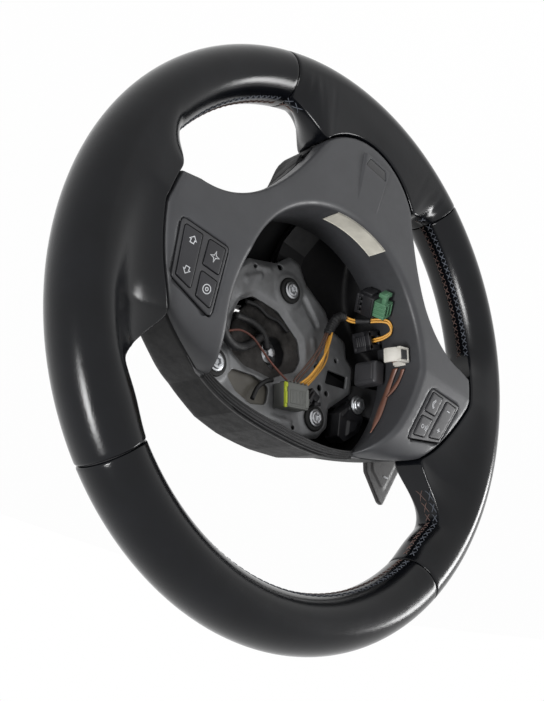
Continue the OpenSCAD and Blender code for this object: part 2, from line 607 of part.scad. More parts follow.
plate_back = plate_y + plate_t;
half_plate = [[5, -71], [15, -60], [39, -50], [48, -40], [64, -37], [68, -26], [77, -22], [79, -3], [60, 17],
    [62, 30], [55, 41], [41, 47], [16, 48.5]];
plate_outline = concat(half_plate, mirrored(half_plate));
module plate_opening() {
    translate([3, -4]) circle(r = 24, $fn = 40);
    translate([20, -8]) circle(r = 19, $fn = 32);
    translate([21, 3]) circle(r = 16.5, $fn = 32);
    translate([-9, -5]) circle(r = 16.5, $fn = 32);
}
module press_rib(p, len, a) {
    translate([p[0], plate_y, p[1]]) rotate([0, a, 0]) rotate([90, 0, 0])
        translate([0, 0, -0.6]) linear_extrude(1.4) union() {
            square([len, 4.5], center = true);
            translate([len / 2, 0]) circle(d = 4.5, $fn = 20);
            translate([-len / 2, 0]) circle(d = 4.5, $fn = 20);
        }
}
module carrier_plate() {
    color("#77797b") dish() difference() {
        union() {
            plan(plate_y, plate_back) polygon(plate_outline);
            plan(plate_back - 0.5, plate_back + 1.6) difference() {
                polygon(plate_outline);
                polygon([for (p = plate_outline) p * (1 - 2.4 / norm(p))]);
            }
            press_rib([32.5, -38.5], 14, -39);
            press_rib([-23, -41], 20, 37);
            press_rib([-34.5, -15], 15, 70);
            press_rib([47, -11], 14, -75);
        }
        plan(plate_y - 3, plate_back + 3) plate_opening();
        for (side = [1, -1]) plan(plate_y - 3, plate_back + 3)
            polygon([for (p = [[51, -9], [71, -12.5], [71.5, -3], [50.5, 1.5]]) [side * p[0], p[1]]]);
        plan(plate_y - 3, plate_back + 3)
            polygon([[-2, 26], [12, 24], [30, 27], [33, 33], [24, 39.5], [10, 42.5], [-3, 38]]);
        screw_places() on_axis(0, 0, plate_y - 3, plate_back + 3, rubber_r - 2.6);
        for (p = [[-46.5, 7], [-54, 8], [46, 8], [12, -58], [-57, -19]])
            on_axis(p[0], p[1], plate_y - 3, plate_back + 3, 2);
    }
}
module rubber_bushes() {
    color("#141416") dish() screw_places() turned() polygon([
        [3 + fit, plate_y - 2.6], [rubber_r - 1, plate_y - 2.6], [rubber_r, plate_y - 1.6],
        [rubber_r, plate_y - 0.9], [rubber_r - 2.8, plate_y - 0.9], [rubber_r - 2.8, plate_back + 1.7],
        [rubber_r, plate_back + 1.7], [rubber_r, hub_front - 0.1], [3 + fit, hub_front - 0.1]]);
}
module carrier_screws() {
    color("#d2d4d6") dish() screw_places() difference() {
        union() {
            on_axis(0, 0, plate_y - 3.5, plate_y - 2.7, rubber_r - 3);
            on_axis(0, 0, plate_y - 4.8, plate_y - 3.5, 4.6);
            on_axis(0, 0, plate_y - 3.5, hub_back - 1, 3);
        }
        plan(plate_y - 5, plate_y - 2.9) circle(r = 2.4, $fn = 6);
    }
}
// Felted pad behind the plate's opening
module foam_pad() {
    color("#242322") dish() plan(plate_back + 0.3, hub_front - 0.3) difference() {
        circle(r = 36, $fn = 48);
        circle(r = 10.5, $fn = 32);
    }
}

// Plugs, boxes and leads in the hub

plug_w = 19;
module on_plug() { translate([-18.4, plate_y - 6.6, 27]) rotate([0, -15, 0]) children(); }
module plug_housing() {
    color("#7b7d7c") dish() on_plug() difference() {
        union() {
            translate([-plug_w / 2, -5.2, -8]) cube([plug_w, 11.5, 16]);
            translate([-5, -5.8, -3.7]) cube([12.5, 1.5, 9]);
            translate([-9, -6, -5.4]) cube([2.2, 1.5, 12]);
        }
        for (x = [-8, -4, 0, 4, 8]) translate([x - 0.8, -3, -8.5]) cube([1.6, 5, 3]);
    }
}
module plug_lock() {
    color("#c9d61c") dish() on_plug() translate([plug_w / 2 + 0.3, -5, -8.3]) cube([2.4, 11.3, 16.6]);
}
holder_y = 7;
holder_w = 13;
// How far out a square-backed piece goes before its corners touch the round wall
function wall_seat(half) = sqrt(pow(opening_r - seat, 2) - half * half);
holder_r = wall_seat(15) - holder_w;
// Place a thing on the hub's inner wall at seven to eight o'clock, x outwards to the wall and y into the holder
module on_holder() {
    translate([0, holder_y, 0]) rotate([0, 134, 0]) mirror([0, 0, 1])
        translate([holder_r, 0, 0]) rotate([-35, 0, 0]) children();
}
module cable_holder() {
    color("#17181a") dish() on_holder() difference() {
        union() {
            translate([0, 0, -7]) cube([holder_w, 14, 15]);
            translate([2, 3, -9]) cube([holder_w - 4, 8, 3]);
        }
        translate([1.2, -1, -5.5]) cube([holder_w - 2.4, 12, 12]);
        for (z = [-4.5, -0.5, 3.5]) translate([-1, 9, z]) cube([2, 3, 2]);
    }
}
module green_connector() {
    color("#4f8a5b") dish() on_holder() difference() {
        union() {
            translate([1.5, -9, -5.2]) cube([holder_w - 3, 19, 11.4]);
            translate([2, -8, -9.5]) cube([4, 3, 5]);
            translate([2, -8, -12]) cube([8, 6, 3]);
        }
        for (z = [-3.4, -0.6, 2.2]) translate([0.5, -8, z]) cube([1.8, 7.5, 1.4]);
        for (x = [3.6, 7.6]) translate([x, -10, -3.4]) cube([2.4, 5, 7.6]);
    }
}
// Plug at the end of the twin leads, on the same wall
loop_y = 25;
loop_w = 13;
module on_loop_plug() {
    translate([0, loop_y, 0]) rotate([0, 152, 0]) mirror([0, 0, 1])
        translate([wall_seat(7) - loop_w, 0, 0]) children();
}
module loop_plug() {
    color("#151617") dish() on_loop_plug() difference() {
        union() {
            translate([0, -8, -7]) cube([loop_w, 15, 14]);
            translate([-1.2, -5, -4]) cube([2, 10, 8]);
        }
        translate([loop_w / 2 - 3.5, -9, -3]) cube([7, 5, 6]);
    }
}
// Control box between the plate's edge and the cover, on the cast spoke, drawn from the opening's edge
box_top = plate_y - 8;
module at_edge() { translate([-opening_r, 0, 0]) children(); }
module control_box() {
    color("#1b1c1e") dish() at_edge() difference() {
        union() {
            plan(box_top, hub_front - 2 - seat)
                polygon([[18.5, 19.5], [1, 1.2], [0, 1], [0, 11.8], [-6, 14], [-3, 26], [9, 38], [16.5, 36]]);
            plan(box_top - 1.6, box_top + 1) polygon([[10, 22], [-1, 18], [0, 26], [9, 34]]);
        }
        on_axis(3, 7.5, box_top - 1, plate_back + 4, 3);
    }
}
module box_nut() {
    color("#b9bbbd") dish() at_edge() union() {
        on_axis(3, 7.5, box_top - 4, plate_back, 2.9);
        plan(box_top - 3, box_top - 0.2) translate([3, 7.5]) circle(r = 5.4, $fn = 6);
    }
}
clip_y = 0;
clip_w = 15;
// Place a thing on the hub's inner wall at a quarter past eight, x outwards to the wall
module on_clip() {
    translate([0, clip_y, 0]) rotate([0, 163, 0]) mirror([0, 0, 1])
        translate([wall_seat(6) - clip_w, 0, 0]) children();
}
// White clip: an arch of even wall on a foot, bent over its flat cable
module flat_cable_clip() {
    color("#d9d8d2") dish() on_clip() union() {
        translate([0, 0, -5]) linear_extrude(10) difference() {
            polygon([[clip_w, 7], [clip_w, -2], [clip_w - 3, -6.5], [6, -7], [2, -4.2], [0, 4]]);
            polygon([[clip_w - 2, 8], [clip_w - 2, -1], [clip_w - 4.4, -4.4], [6.8, -4.8], [3.6, -2.6], [2, 4.4],
                [2, 8]]);
        }
        translate([clip_w - 1.8, -3, -6]) cube([1.8, 9, 12]);
    }
}
module flat_ribbon() {
    color("#8a5a48") dish() skin([for (k = span(0, 1, 12))
        let (c = cubic([-77.2, 5, -16], [-81.2, 12, -7], [-82.2, 16, 16], [-71.5, 12.5, 33], k), w = 2.2, d = 0.3)
        [c + [-d, -w, 0], c + [-d, w, 0], c + [d, w, 0], c + [d, -w, 0]]]);
}

// A lead swept along points chosen by hand
function unit(v) = v / max(0.0001, norm(v));
function ring_at(pts, i, r, n) =
    let (a = pts[max(0, i - 1)], b = pts[min(len(pts) - 1, i + 1)],
        d = unit(b - a), s = unit(cross(d, [0.1, 1, 0.05])), u = cross(s, d))
    [for (j = [0:n - 1]) pts[i] + r * (cos(360 * j / n) * s + sin(360 * j / n) * u)];
module lead(pts, r, n = 8) { skin([for (i = [0:len(pts) - 1]) ring_at(pts, i, r, n)]); }

wire_r = 0.75;
// Leads that lie in front of the plate have their depths measured from its front face
function over_plate(pts) = [for (p = pts) p + [0, plate_y, 0]];
red_pts = over_plate([[44, -3, 8], [36, -6, 4], [27, -8, 5], [19, -9.2, 9.5], [10, -9.4, 14], [1, -9, 17],
    [-6, -8.4, 18.6], [-11.5, -7.8, 19.9]]);
wire_paths = [
    [[-25, -7.2, 16], [-29.6, -8.6, 6], [-33.4, -9.6, -6], [-34.6, -9.6, -18], [-34.8, -8.8, -29.4]],
    [[-22.4, -7.4, 16.8], [-26.6, -10, 7.5], [-31, -11.6, -4.5], [-34.4, -11, -17], [-36.8, -9.6, -29.4]],
    [[-19.4, -7.6, 17.6], [-23.4, -11.4, 9], [-28.4, -13.4, -3], [-33.6, -13, -16], [-36.4, -12, -29.4]]];
wrap_pts = over_plate([[-35.6, -9.8, -30.4], [-36.4, -10.2, -35], [-38, -11.2, -40], [-40.6, -12.2, -43.6]]);
twin_pts = concat(over_plate([[-42.4, -13, -44.6], [-48, -17.2, -43.2], [-53.6, -22.4, -44.4]]),
    [[-59, 13, -46.2], [-63, 7, -46.2], [-66.2, 5.2, -43], [-67.8, 6.6, -39.4], [-67.2, 11.5, -36.4],
    [-65.8, 16, -35], [-65.3, 20.2, -34.7]]);
tube_pts = over_plate([[60, -17, 12], [50, -10, 14], [40, -5.5, 15], [30, -3, 12.5], [21, -0.9, 5]]);
module red_wire() { color("#7d3a2c") dish() lead(red_pts, wire_r); }
module yellow_wires() {
    color("#d89a2c") dish() {
        for (p = wire_paths) lead(over_plate(p), wire_r);
        for (z = [-0.9, 0.9]) lead([for (p = twin_pts) p + [0, 0, z]], wire_r);
    }
}
module wire_wrap() { color("#121214") dish() lead(wrap_pts, 3.2, 10); }
module harness_tube() { color("#161618") dish() lead(tube_pts, 3.2, 10); }

armature();
rim_core();
bore_bush();
rim_foam();
leather_top();
leather_right();
leather_bottom();
leather_left();
front_trim();
rear_cover();
badge_insert();
trim_screws();
cover_screws();
switch_frame_right();
rocker_right();
star_key();
round_key();
switch_frame_left();
rocker_left();
phone_key();
speech_key();
paddle_bracket_right();
paddle_pin_right();
paddle_right();
paddle_bracket_left();
paddle_pin_left();
paddle_left();
carrier_plate();
rubber_bushes();
carrier_screws();
foam_pad();
plug_housing();
plug_lock();
cable_holder();
green_connector();
loop_plug();
control_box();
box_nut();
flat_cable_clip();
flat_ribbon();
red_wire();
yellow_wires();
wire_wrap();
harness_tube();
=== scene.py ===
"""Looks of the car steering wheel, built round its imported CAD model.

Lengths are in millimetres about the rim's middle plane until place() turns them into the
frame's metres: x to the driver's right, y away from the driver and z towards twelve o'clock.
"""
import math

import bmesh
import bpy
import numpy as np
from mathutils import Matrix, Vector
from mathutils.noise import noise as noise_value
from mathutils.geometry import delaunay_2d_cdt


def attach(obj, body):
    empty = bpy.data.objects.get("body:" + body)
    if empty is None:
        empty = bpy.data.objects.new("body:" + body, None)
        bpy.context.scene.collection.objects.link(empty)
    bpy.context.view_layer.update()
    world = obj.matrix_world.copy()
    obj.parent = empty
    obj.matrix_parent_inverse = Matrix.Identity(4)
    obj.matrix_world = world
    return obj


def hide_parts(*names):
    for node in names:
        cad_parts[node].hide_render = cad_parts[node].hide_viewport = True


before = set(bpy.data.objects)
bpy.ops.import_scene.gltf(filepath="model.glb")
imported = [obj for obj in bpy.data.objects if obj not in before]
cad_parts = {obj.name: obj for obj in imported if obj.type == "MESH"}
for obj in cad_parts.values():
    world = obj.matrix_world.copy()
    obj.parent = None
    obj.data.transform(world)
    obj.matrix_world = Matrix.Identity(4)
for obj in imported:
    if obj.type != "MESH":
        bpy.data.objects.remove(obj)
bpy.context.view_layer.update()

# Sizes that the CAD model has too
DISH = 70.0
RIM_R, HALF_W, HALF_D = 185.0, 16.7, 20.0
RING_R = RIM_R - HALF_W
SEAM_R = RING_R - HALF_W - 11.5
SEAM_LOW_R = SEAM_R + 2
SPOKE_LOW, SPOKE_HIGH, LOW_SPOKE_W = 34.0, 38.0, 90.0
THUMB_RISE = 2.5
OPENING_R, OPENING_TOP = 81.0, 56.0
SKIRT_Y = 22.0
SWITCH_TILT = math.radians(13.5)
SWITCH_AT = (108.0, -10.6, 11.0)
PLATE_Y = 43.0
KEY_TOP = 1.1
SEAM_UP, SEAM_LOW = 45.0, -60.0
SEAT = 0.3


def place(points):
    """Millimetres about the rim's middle plane to metres in the frame."""
    p = np.asarray(points, float) / 1000.0
    return p - np.array([0.0, DISH / 1000.0, 0.0])


def ease(x):
    c = np.clip(x, 0.0, 1.0)
    return c * c * (3 - 2 * c)


def mix(a, b, k):
    return a + (b - a) * k


def span(a, b, n):
    return [a + (b - a) * i / n for i in range(n + 1)]


# Camera, matched to the photograph

def make_camera():
    cam = bpy.data.cameras.new("camera")
    cam.lens = 40.14
    cam.sensor_fit = "AUTO"
    cam.sensor_width = 36.0
    cam.clip_start = 0.01
    obj = bpy.data.objects.new("camera", cam)
    bpy.context.scene.collection.objects.link(obj)
    forward = Vector((-0.57746, 0.70842, -0.40580)).normalized()
    up = Vector((0.42680, -0.16178, -0.88976))
    right = forward.cross(up).normalized()
    up = right.cross(forward).normalized()
    obj.matrix_world = Matrix((
        (right.x, up.x, -forward.x, 0.29941),
        (right.y, up.y, -forward.y, -0.39122),
        (right.z, up.z, -forward.z, 0.20995),
        (0, 0, 0, 1)))
    bpy.context.scene.camera = obj


make_camera()


# Materials

def new_material(name):
    mat = bpy.data.materials.new(name)
    mat.use_nodes = True
    nodes = mat.node_tree.nodes
    shader = nodes["Principled BSDF"]
    return mat, nodes, mat.node_tree.links, shader


def noise(nodes, links, coords, scale, detail=4.0, rough=0.55):
    node = nodes.new("ShaderNodeTexNoise")
    node.inputs["Scale"].default_value = scale
    node.inputs["Detail"].default_value = detail
    node.inputs["Roughness"].default_value = rough
    links.new(coords, node.inputs["Vector"])
    return node.outputs["Fac"]


def ramp(nodes, links, fac, low, high, c0, c1):
    node = nodes.new("ShaderNodeValToRGB")
    node.color_ramp.elements[0].position = low
    node.color_ramp.elements[0].color = (*c0, 1)
    node.color_ramp.elements[1].position = high
    node.color_ramp.elements[1].color = (*c1, 1)
    links.new(fac, node.inputs["Fac"])
    return node.outputs["Color"]


def to_range(nodes, links, fac, low, high, out_low, out_high):
    node = nodes.new("ShaderNodeMapRange")
    for key, value in (("From Min", low), ("From Max", high), ("To Min", out_low), ("To Max", out_high)):
        node.inputs[key].default_value = value
    links.new(fac, node.inputs["Value"])
    return node.outputs["Result"]


def bump(nodes, links, height, strength, distance, normal=None):
    node = nodes.new("ShaderNodeBump")
    node.inputs["Strength"].default_value = strength
    node.inputs["Distance"].default_value = distance
    links.new(height, node.inputs["Height"])
    if normal is not None:
        links.new(normal, node.inputs["Normal"])
    return node.outputs["Normal"]


def plain(name, color, rough=0.45, metal=0.0, spec=0.5, grain=900.0, grain_bump=0.00008,
          vary=0.25, scratch=0.0, coat=0.0):
    """Moulded plastic, rubber or metal: colour that drifts, a fine grain and faint scuffs."""
    mat, nodes, links, shader = new_material(name)
    coords = nodes.new("ShaderNodeTexCoord").outputs["Object"]
    drift = noise(nodes, links, coords, 45.0, 5.0)
    darker = tuple(c * (1 - vary) for c in color)
    lighter = tuple(min(1.0, c * (1 + vary)) for c in color)
    links.new(ramp(nodes, links, drift, 0.35, 0.7, darker, lighter), shader.inputs["Base Color"])
    wear = noise(nodes, links, coords, 160.0, 6.0, 0.7)
    links.new(to_range(nodes, links, wear, 0.3, 0.75, rough * 0.85, min(1.0, rough * 1.25)),
              shader.inputs["Roughness"])
    fine = noise(nodes, links, coords, grain, 3.0)
    normal = bump(nodes, links, fine, 0.5, grain_bump)
    if scratch:
        stretch = nodes.new("ShaderNodeMapping")
        stretch.inputs["Scale"].default_value = (40, 900, 260)
        stretch.inputs["Rotation"].default_value = (0.4, 0.9, 0.3)
        links.new(coords, stretch.inputs["Vector"])
        lines = noise(nodes, links, stretch.outputs["Vector"], 1.0, 2.0)
        thin = to_range(nodes, links, lines, 0.66, 0.72, 0.0, 1.0)
        normal = bump(nodes, links, thin, scratch, 0.00006, normal)
    links.new(normal, shader.inputs["Normal"])
    shader.inputs["Metallic"].default_value = metal
    shader.inputs["Specular IOR Level"].default_value = spec
    shader.inputs["Coat Weight"].default_value = coat
    return mat


def leather_material():
    mat, nodes, links, shader = new_material("leather")
    coords = nodes.new("ShaderNodeTexCoord").outputs["Object"]
    drift = noise(nodes, links, coords, 38.0, 6.0, 0.6)
    links.new(ramp(nodes, links, drift, 0.3, 0.75, (0.0018, 0.0021, 0.0030), (0.0044, 0.0050, 0.0068)),
              shader.inputs["Base Color"])
    cells = nodes.new("ShaderNodeTexVoronoi")
    cells.feature = "DISTANCE_TO_EDGE"
    cells.inputs["Scale"].default_value = 760.0
    links.new(coords, cells.inputs["Vector"])
    pores = to_range(nodes, links, cells.outputs["Distance"], 0.0, 0.22, 0.0, 1.0)
    polish = noise(nodes, links, coords, 24.0, 3.0)
    links.new(to_range(nodes, links, polish, 0.35, 0.68, 0.14, 0.22), shader.inputs["Roughness"])
    normal = bump(nodes, links, pores, 0.16, 0.00008)
    soft = noise(nodes, links, coords, 70.0, 3.0)
    normal = bump(nodes, links, soft, 0.3, 0.0004, normal)
    links.new(normal, shader.inputs["Normal"])
    shader.inputs["Specular IOR Level"].default_value = 0.24
    return mat


MATERIALS = {
    "leather": leather_material(),
    "trim": plain("trim_plastic", (0.044, 0.045, 0.049), 0.42, spec=0.42, grain=1500.0, vary=0.08,
                  scratch=0.25),
    "cover": plain("cover_plastic", (0.0050, 0.0050, 0.0056), 0.5, spec=0.13, grain=2300.0,
                   grain_bump=0.00012, vary=0.15),
    "bezel": plain("bezel_plastic", (0.034, 0.034, 0.037), 0.4, spec=0.42, vary=0.12),
    "key": plain("key_plastic", (0.018, 0.018, 0.021), 0.42, spec=0.42, vary=0.15, scratch=0.2),
    "symbol": plain("symbol_paint", (0.52, 0.53, 0.55), 0.5, vary=0.1),
    "badge": plain("badge_gloss", (0.008, 0.008, 0.010), 0.18, spec=0.5, vary=0.1, coat=0.3),
    "paddle": plain("paddle_plastic", (0.034, 0.032, 0.032), 0.42, spec=0.42, vary=0.12, scratch=0.3),
    "plate": plain("plate_steel", (0.205, 0.208, 0.214), 0.42, metal=0.45, spec=0.5, grain=700.0,
                   vary=0.28, scratch=0.5),
    "cast": plain("cast_alloy", (0.012, 0.012, 0.013), 0.5, spec=0.3, grain=500.0, vary=0.25),
    "tray": plain("tray_paint", (0.15, 0.14, 0.12), 0.38, spec=0.45, grain=400.0, vary=0.12),
    "steel": plain("steel", (0.48, 0.49, 0.51), 0.36, metal=0.92, grain=800.0, vary=0.2),
    "rubber": plain("rubber", (0.010, 0.010, 0.010), 0.6, spec=0.35, vary=0.3),
    "felt": plain("felt", (0.060, 0.057, 0.055), 0.95, spec=0.15, grain=420.0, grain_bump=0.0012,
                  vary=0.7),
    "plug": plain("plug_grey", (0.17, 0.175, 0.165), 0.55, spec=0.4, vary=0.15),
    "lime": plain("plug_lime", (0.52, 0.60, 0.045), 0.45, spec=0.4, vary=0.12),
    "holder": plain("holder_black", (0.010, 0.010, 0.012), 0.45, spec=0.45, vary=0.2),
    "green": plain("plug_green", (0.085, 0.205, 0.115), 0.5, spec=0.4, vary=0.2),
    "white": plain("clip_white", (0.62, 0.60, 0.55), 0.5, spec=0.4, vary=0.12),
    "copper": plain("ribbon_copper", (0.19, 0.088, 0.062), 0.38, spec=0.5, vary=0.3),
    "red": plain("wire_red", (0.15, 0.045, 0.030), 0.4, spec=0.5, vary=0.25),
    "yellow": plain("wire_yellow", (0.72, 0.36, 0.055), 0.4, spec=0.5, vary=0.15),
    "brown": plain("wire_brown", (0.10, 0.05, 0.035), 0.4, spec=0.5, vary=0.2),
    "tape": plain("tape_black", (0.010, 0.010, 0.011), 0.55, spec=0.4, grain=600.0, grain_bump=0.0004,
                  vary=0.3),
    "thread": plain("thread", (0.085, 0.095, 0.115), 0.6, spec=0.35, vary=0.3),
    "thread_red": plain("thread_red", (0.115, 0.072, 0.062), 0.6, spec=0.35, vary=0.3),
    "label": plain("label_silver", (0.64, 0.615, 0.54), 0.42, spec=0.5, vary=0.22),
    "foam": plain("rim_foam", (0.04, 0.04, 0.042), 0.8, spec=0.3, vary=0.2),
}


# Meshes

def add_mesh(name, points, faces, material, body="wheel", node=None, smooth=True):
    """A piece in the frame from points in millimetres about the rim's middle plane."""
    mesh = bpy.data.meshes.new(name)
    mesh.from_pydata([tuple(p) for p in place(points)], [], [tuple(int(i) for i in f) for f in faces])
    mesh.validate()
    mesh.update()
    if smooth:
        mesh.shade_smooth()
    mesh.materials.append(MATERIALS[material])
    obj = bpy.data.objects.new(name, mesh)
    bpy.context.scene.collection.objects.link(obj)
    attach(obj, body)
    if node:
        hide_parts(*([node] if isinstance(node, str) else node))
    return obj


def grid_faces(rows, cols, close_cols=True, close_rows=False):
    faces = []
    for i in range(rows if close_rows else rows - 1):
        for j in range(cols if close_cols else cols - 1):
            i2, j2 = (i + 1) % rows, (j + 1) % cols
            faces.append((i * cols + j, i2 * cols + j, i2 * cols + j2, i * cols + j2))
    return faces


def end_caps(rows, cols):
    """First and last row of a tube's grid as faces."""
    return [tuple(range(cols)), tuple((rows - 1) * cols + j for j in reversed(range(cols)))]


def reversed_faces(faces):
    return [tuple(reversed(f)) for f in faces]


def mirrored(part):
    """A part of the right side, turned into the left side's."""
    points, faces = part
    return points * np.array([-1.0, 1.0, 1.0]), reversed_faces(faces)


def inside(points, loops):
    """Even-odd test of points against closed loops."""
    result = np.zeros(len(points), bool)
    x, y = points[:, 0][:, None], points[:, 1][:, None]
    for loop in loops:
        a, b = loop, np.roll(loop, -1, axis=0)
        crosses = (a[:, 1] > y) != (b[:, 1] > y)
        with np.errstate(divide="ignore", invalid="ignore"):
            at = (b[:, 0] - a[:, 0]) * (y - a[:, 1]) / (b[:, 1] - a[:, 1]) + a[:, 0]
        result ^= (np.sum(crosses & (x < at), axis=1) % 2).astype(bool)
    return result


def edge_distance(points, loops):
    best = np.full(len(points), 1e9)
    for loop in loops:
        a, b = loop, np.roll(loop, -1, axis=0)
        d = b - a
        length = np.maximum(1e-12, (d * d).sum(axis=1))
        for start in range(0, len(points), 2000):
            p = points[start:start + 2000]
            rel = p[:, None, :] - a[None]
            k = np.clip((rel * d[None]).sum(axis=2) / length, 0, 1)
            gap = rel - k[..., None] * d[None]
            best[start:start + 2000] = np.minimum(best[start:start + 2000],
                                                  np.sqrt((gap * gap).sum(axis=2)).min(axis=1))
    return best


def raised_inside(u, v, loop, slope):
    """0 outside a loop, rising to 1 within the given width inside it."""
    pts = np.stack([u, v], axis=1)
    return np.where(inside(pts, [loop]), ease(edge_distance(pts, [loop]) / slope), 0.0)


def normals_2d(loop):
    ahead, behind = np.roll(loop, -1, axis=0), np.roll(loop, 1, axis=0)
    d = ahead - behind
    n = np.stack([d[:, 1], -d[:, 0]], axis=1)
    return n / np.maximum(1e-9, np.linalg.norm(n, axis=1))[:, None]


def signed_area(loop):
    nxt = np.roll(loop, -1, axis=0)
    return 0.5 * np.sum(loop[:, 0] * nxt[:, 1] - nxt[:, 0] * loop[:, 1])


def resample(loop, step):
    """Closed loop of points about step apart, with its corners kept."""
    loop = np.asarray(loop, float)
    out = []
    for a, b in zip(loop, np.roll(loop, -1, axis=0)):
        n = max(1, int(round(np.linalg.norm(b - a) / step)))
        out += [a + (b - a) * i / n for i in range(n)]
    return np.array(out)


def rounded(points, radius, n=5):
    """Closed polygon with its corners rounded."""
    points = np.asarray(points, float)
    points = points[np.linalg.norm(points - np.roll(points, 1, axis=0), axis=1) > 0.02]
    out = []
    for i, p in enumerate(points):
        to_prev, to_next = points[i - 1] - p, points[(i + 1) % len(points)] - p
        lp, ln = np.linalg.norm(to_prev), np.linalg.norm(to_next)
        u, v = to_prev / lp, to_next / ln
        half = math.acos(max(-1, min(1, float(u @ v)))) / 2
        cut = min(radius / math.tan(max(half, 0.05)), lp * 0.45, ln * 0.45)
        a, b = p + u * cut, p + v * cut
        out += [a * (1 - k) ** 2 + p * 2 * k * (1 - k) + b * k * k for k in span(0, 1, n)]
    return np.array(out)


def circle(x, y, r, n=48):
    return np.array([[x + r * math.cos(2 * math.pi * i / n), y + r * math.sin(2 * math.pi * i / n)]
                     for i in range(n)])


def moulded(outline, holes, top, edge, to_space, step=2.0, bottom=None, wall=2.0, hole_edge=None,
            rings=5, extra=(), flare=None, flare_rows=(), hole_depth=None):
    """A moulded sheet over a flat outline with holes.

    top(u, v) is the height of its face, edge the radius of the rounding along the outline and
    hole_edge along the holes; bottom(u, v) is the height of its lower edge; to_space turns
    (u, v, height) into a point. flare_rows are (share of the way down, share of flare) rows.
    hole_depth is how far the holes' walls go down, all the way where it isn't given.
    """
    hole_edge = edge if hole_edge is None else hole_edge
    loops = [outline if signed_area(outline) > 0 else outline[::-1]]
    loops += [h if signed_area(h) < 0 else h[::-1] for h in holes]
    radii = [edge] + [hole_edge] * len(holes)
    angles = [math.pi / 2 * i / rings for i in range(1, rings + 1)]
    points = list(loops)
    counts = [len(loop) for loop in loops]
    for loop, radius in zip(loops, radii):
        n = normals_2d(loop)
        for a in angles:
            d = radius * (1 - math.cos(a))
            ring = loop - n * d
            keep = (edge_distance(ring, loops) > d * 0.93) & inside(ring, loops)
            points.append(ring[keep])
    low, high = loops[0].min(axis=0), loops[0].max(axis=0)
    us = np.arange(low[0] + step / 2, high[0], step)
    vs = np.arange(low[1] + step / 2, high[1], step)
    mesh_uv = np.array([[u + (step / 2 if j % 2 else 0), v] for j, v in enumerate(vs) for u in us])
    clear = max(radii) + step * 0.4
    keep = inside(mesh_uv, loops)
    mesh_uv = mesh_uv[keep]
    gap = np.full(len(mesh_uv), 1e9)
    for loop, radius in zip(loops, radii):
        gap = np.minimum(gap, edge_distance(mesh_uv, [loop]) - radius - step * 0.4)
    points.append(mesh_uv[gap > 0])
    for more in extra:
        more = np.asarray(more, float)
        near = np.full(len(more), 1e9)
        for loop, radius in zip(loops, radii):
            near = np.minimum(near, edge_distance(more, [loop]) - radius * 0.2)
        points.append(more[(near > 0) & inside(more, loops)])
    uv = np.concatenate([p for p in points if len(p)])
    edges, start = [], 0
    for c in counts:
        edges += [(start + i, start + (i + 1) % c) for i in range(c)]
        start += c
    verts, _, tris, _, _, _ = delaunay_2d_cdt([Vector(p) for p in uv], edges, [], 0, 1e-4)
    uv = np.array([(v.x, v.y) for v in verts])
    tris = np.array([t for t in tris if len(t) == 3])
    middle = uv[tris].mean(axis=1)
    tris = tris[inside(middle, loops)]
    a, b, c = uv[tris[:, 0]], uv[tris[:, 1]], uv[tris[:, 2]]
    flip = ((b - a)[:, 0] * (c - a)[:, 1] - (b - a)[:, 1] * (c - a)[:, 0]) < 0
    tris[flip] = tris[flip][:, ::-1]
    height = top(uv[:, 0], uv[:, 1]).astype(float)
    drop = np.zeros(len(uv))
    for loop, radius in zip(loops, radii):
        if radius > 0:
            d = np.minimum(radius, edge_distance(uv, [loop]))
            drop = np.maximum(drop, radius - np.sqrt(np.maximum(0, radius ** 2 - (radius - d) ** 2)))
    height = height - drop
    low_fn = bottom if bottom is not None else (lambda u, v: top(u, v) - wall)
    n_top = len(uv)
    all_points = [to_space(uv[:, 0], uv[:, 1], height)]
    faces = [tuple(t) for t in tris]
    total = n_top
    under = np.minimum(top(uv[:, 0], uv[:, 1]) - wall, height - 0.05)
    all_points.append(to_space(uv[:, 0], uv[:, 1], under))
    faces += [tuple(n_top + t[::-1]) for t in tris]
    total += n_top
    index_of = {}
    for i, p in enumerate(uv):
        index_of[(round(p[0], 3), round(p[1], 3))] = i
    for number, loop in enumerate(loops):
        ids = [index_of.get((round(p[0], 3), round(p[1], 3))) for p in loop]
        ids = [i for i in ids if i is not None]
        ring_uv = uv[ids]
        out = normals_2d(ring_uv)
        h0, h1 = height[ids], low_fn(ring_uv[:, 0], ring_uv[:, 1])
        if number and hole_depth is not None:
            h1 = h0 - hole_depth
        rows = [np.array(ids)]
        steps = [(0.5, 0.0), (1.0, 0.0)]
        if number == 0 and flare_rows:
            steps = list(flare_rows)
        for share, swell in steps:
            grow = 0 if flare is None else swell * flare(ring_uv[:, 0], ring_uv[:, 1])
            at = ring_uv + out * np.asarray(grow).reshape(-1, 1) if np.ndim(grow) else ring_uv
            all_points.append(to_space(at[:, 0], at[:, 1], mix(h0, h1, share)))
            rows.append(np.arange(total, total + len(ids)))
            total += len(ids)
        inner = ring_uv - out * min(wall, 2.6) * (0.9 if wall > 0.3 else 0.0)
        all_points.append(to_space(inner[:, 0], inner[:, 1], h1))
        rows.append(np.arange(total, total + len(ids)))
        total += len(ids)
        rows.append(np.array(ids) + n_top)
        for r0, r1 in zip(rows, rows[1:]):
            for i in range(len(ids)):
                j = (i + 1) % len(ids)
                faces.append((r0[j], r0[i], r1[i], r1[j]))
    return np.concatenate(all_points), faces


# Leather rim, with the same form as the CAD model's sections

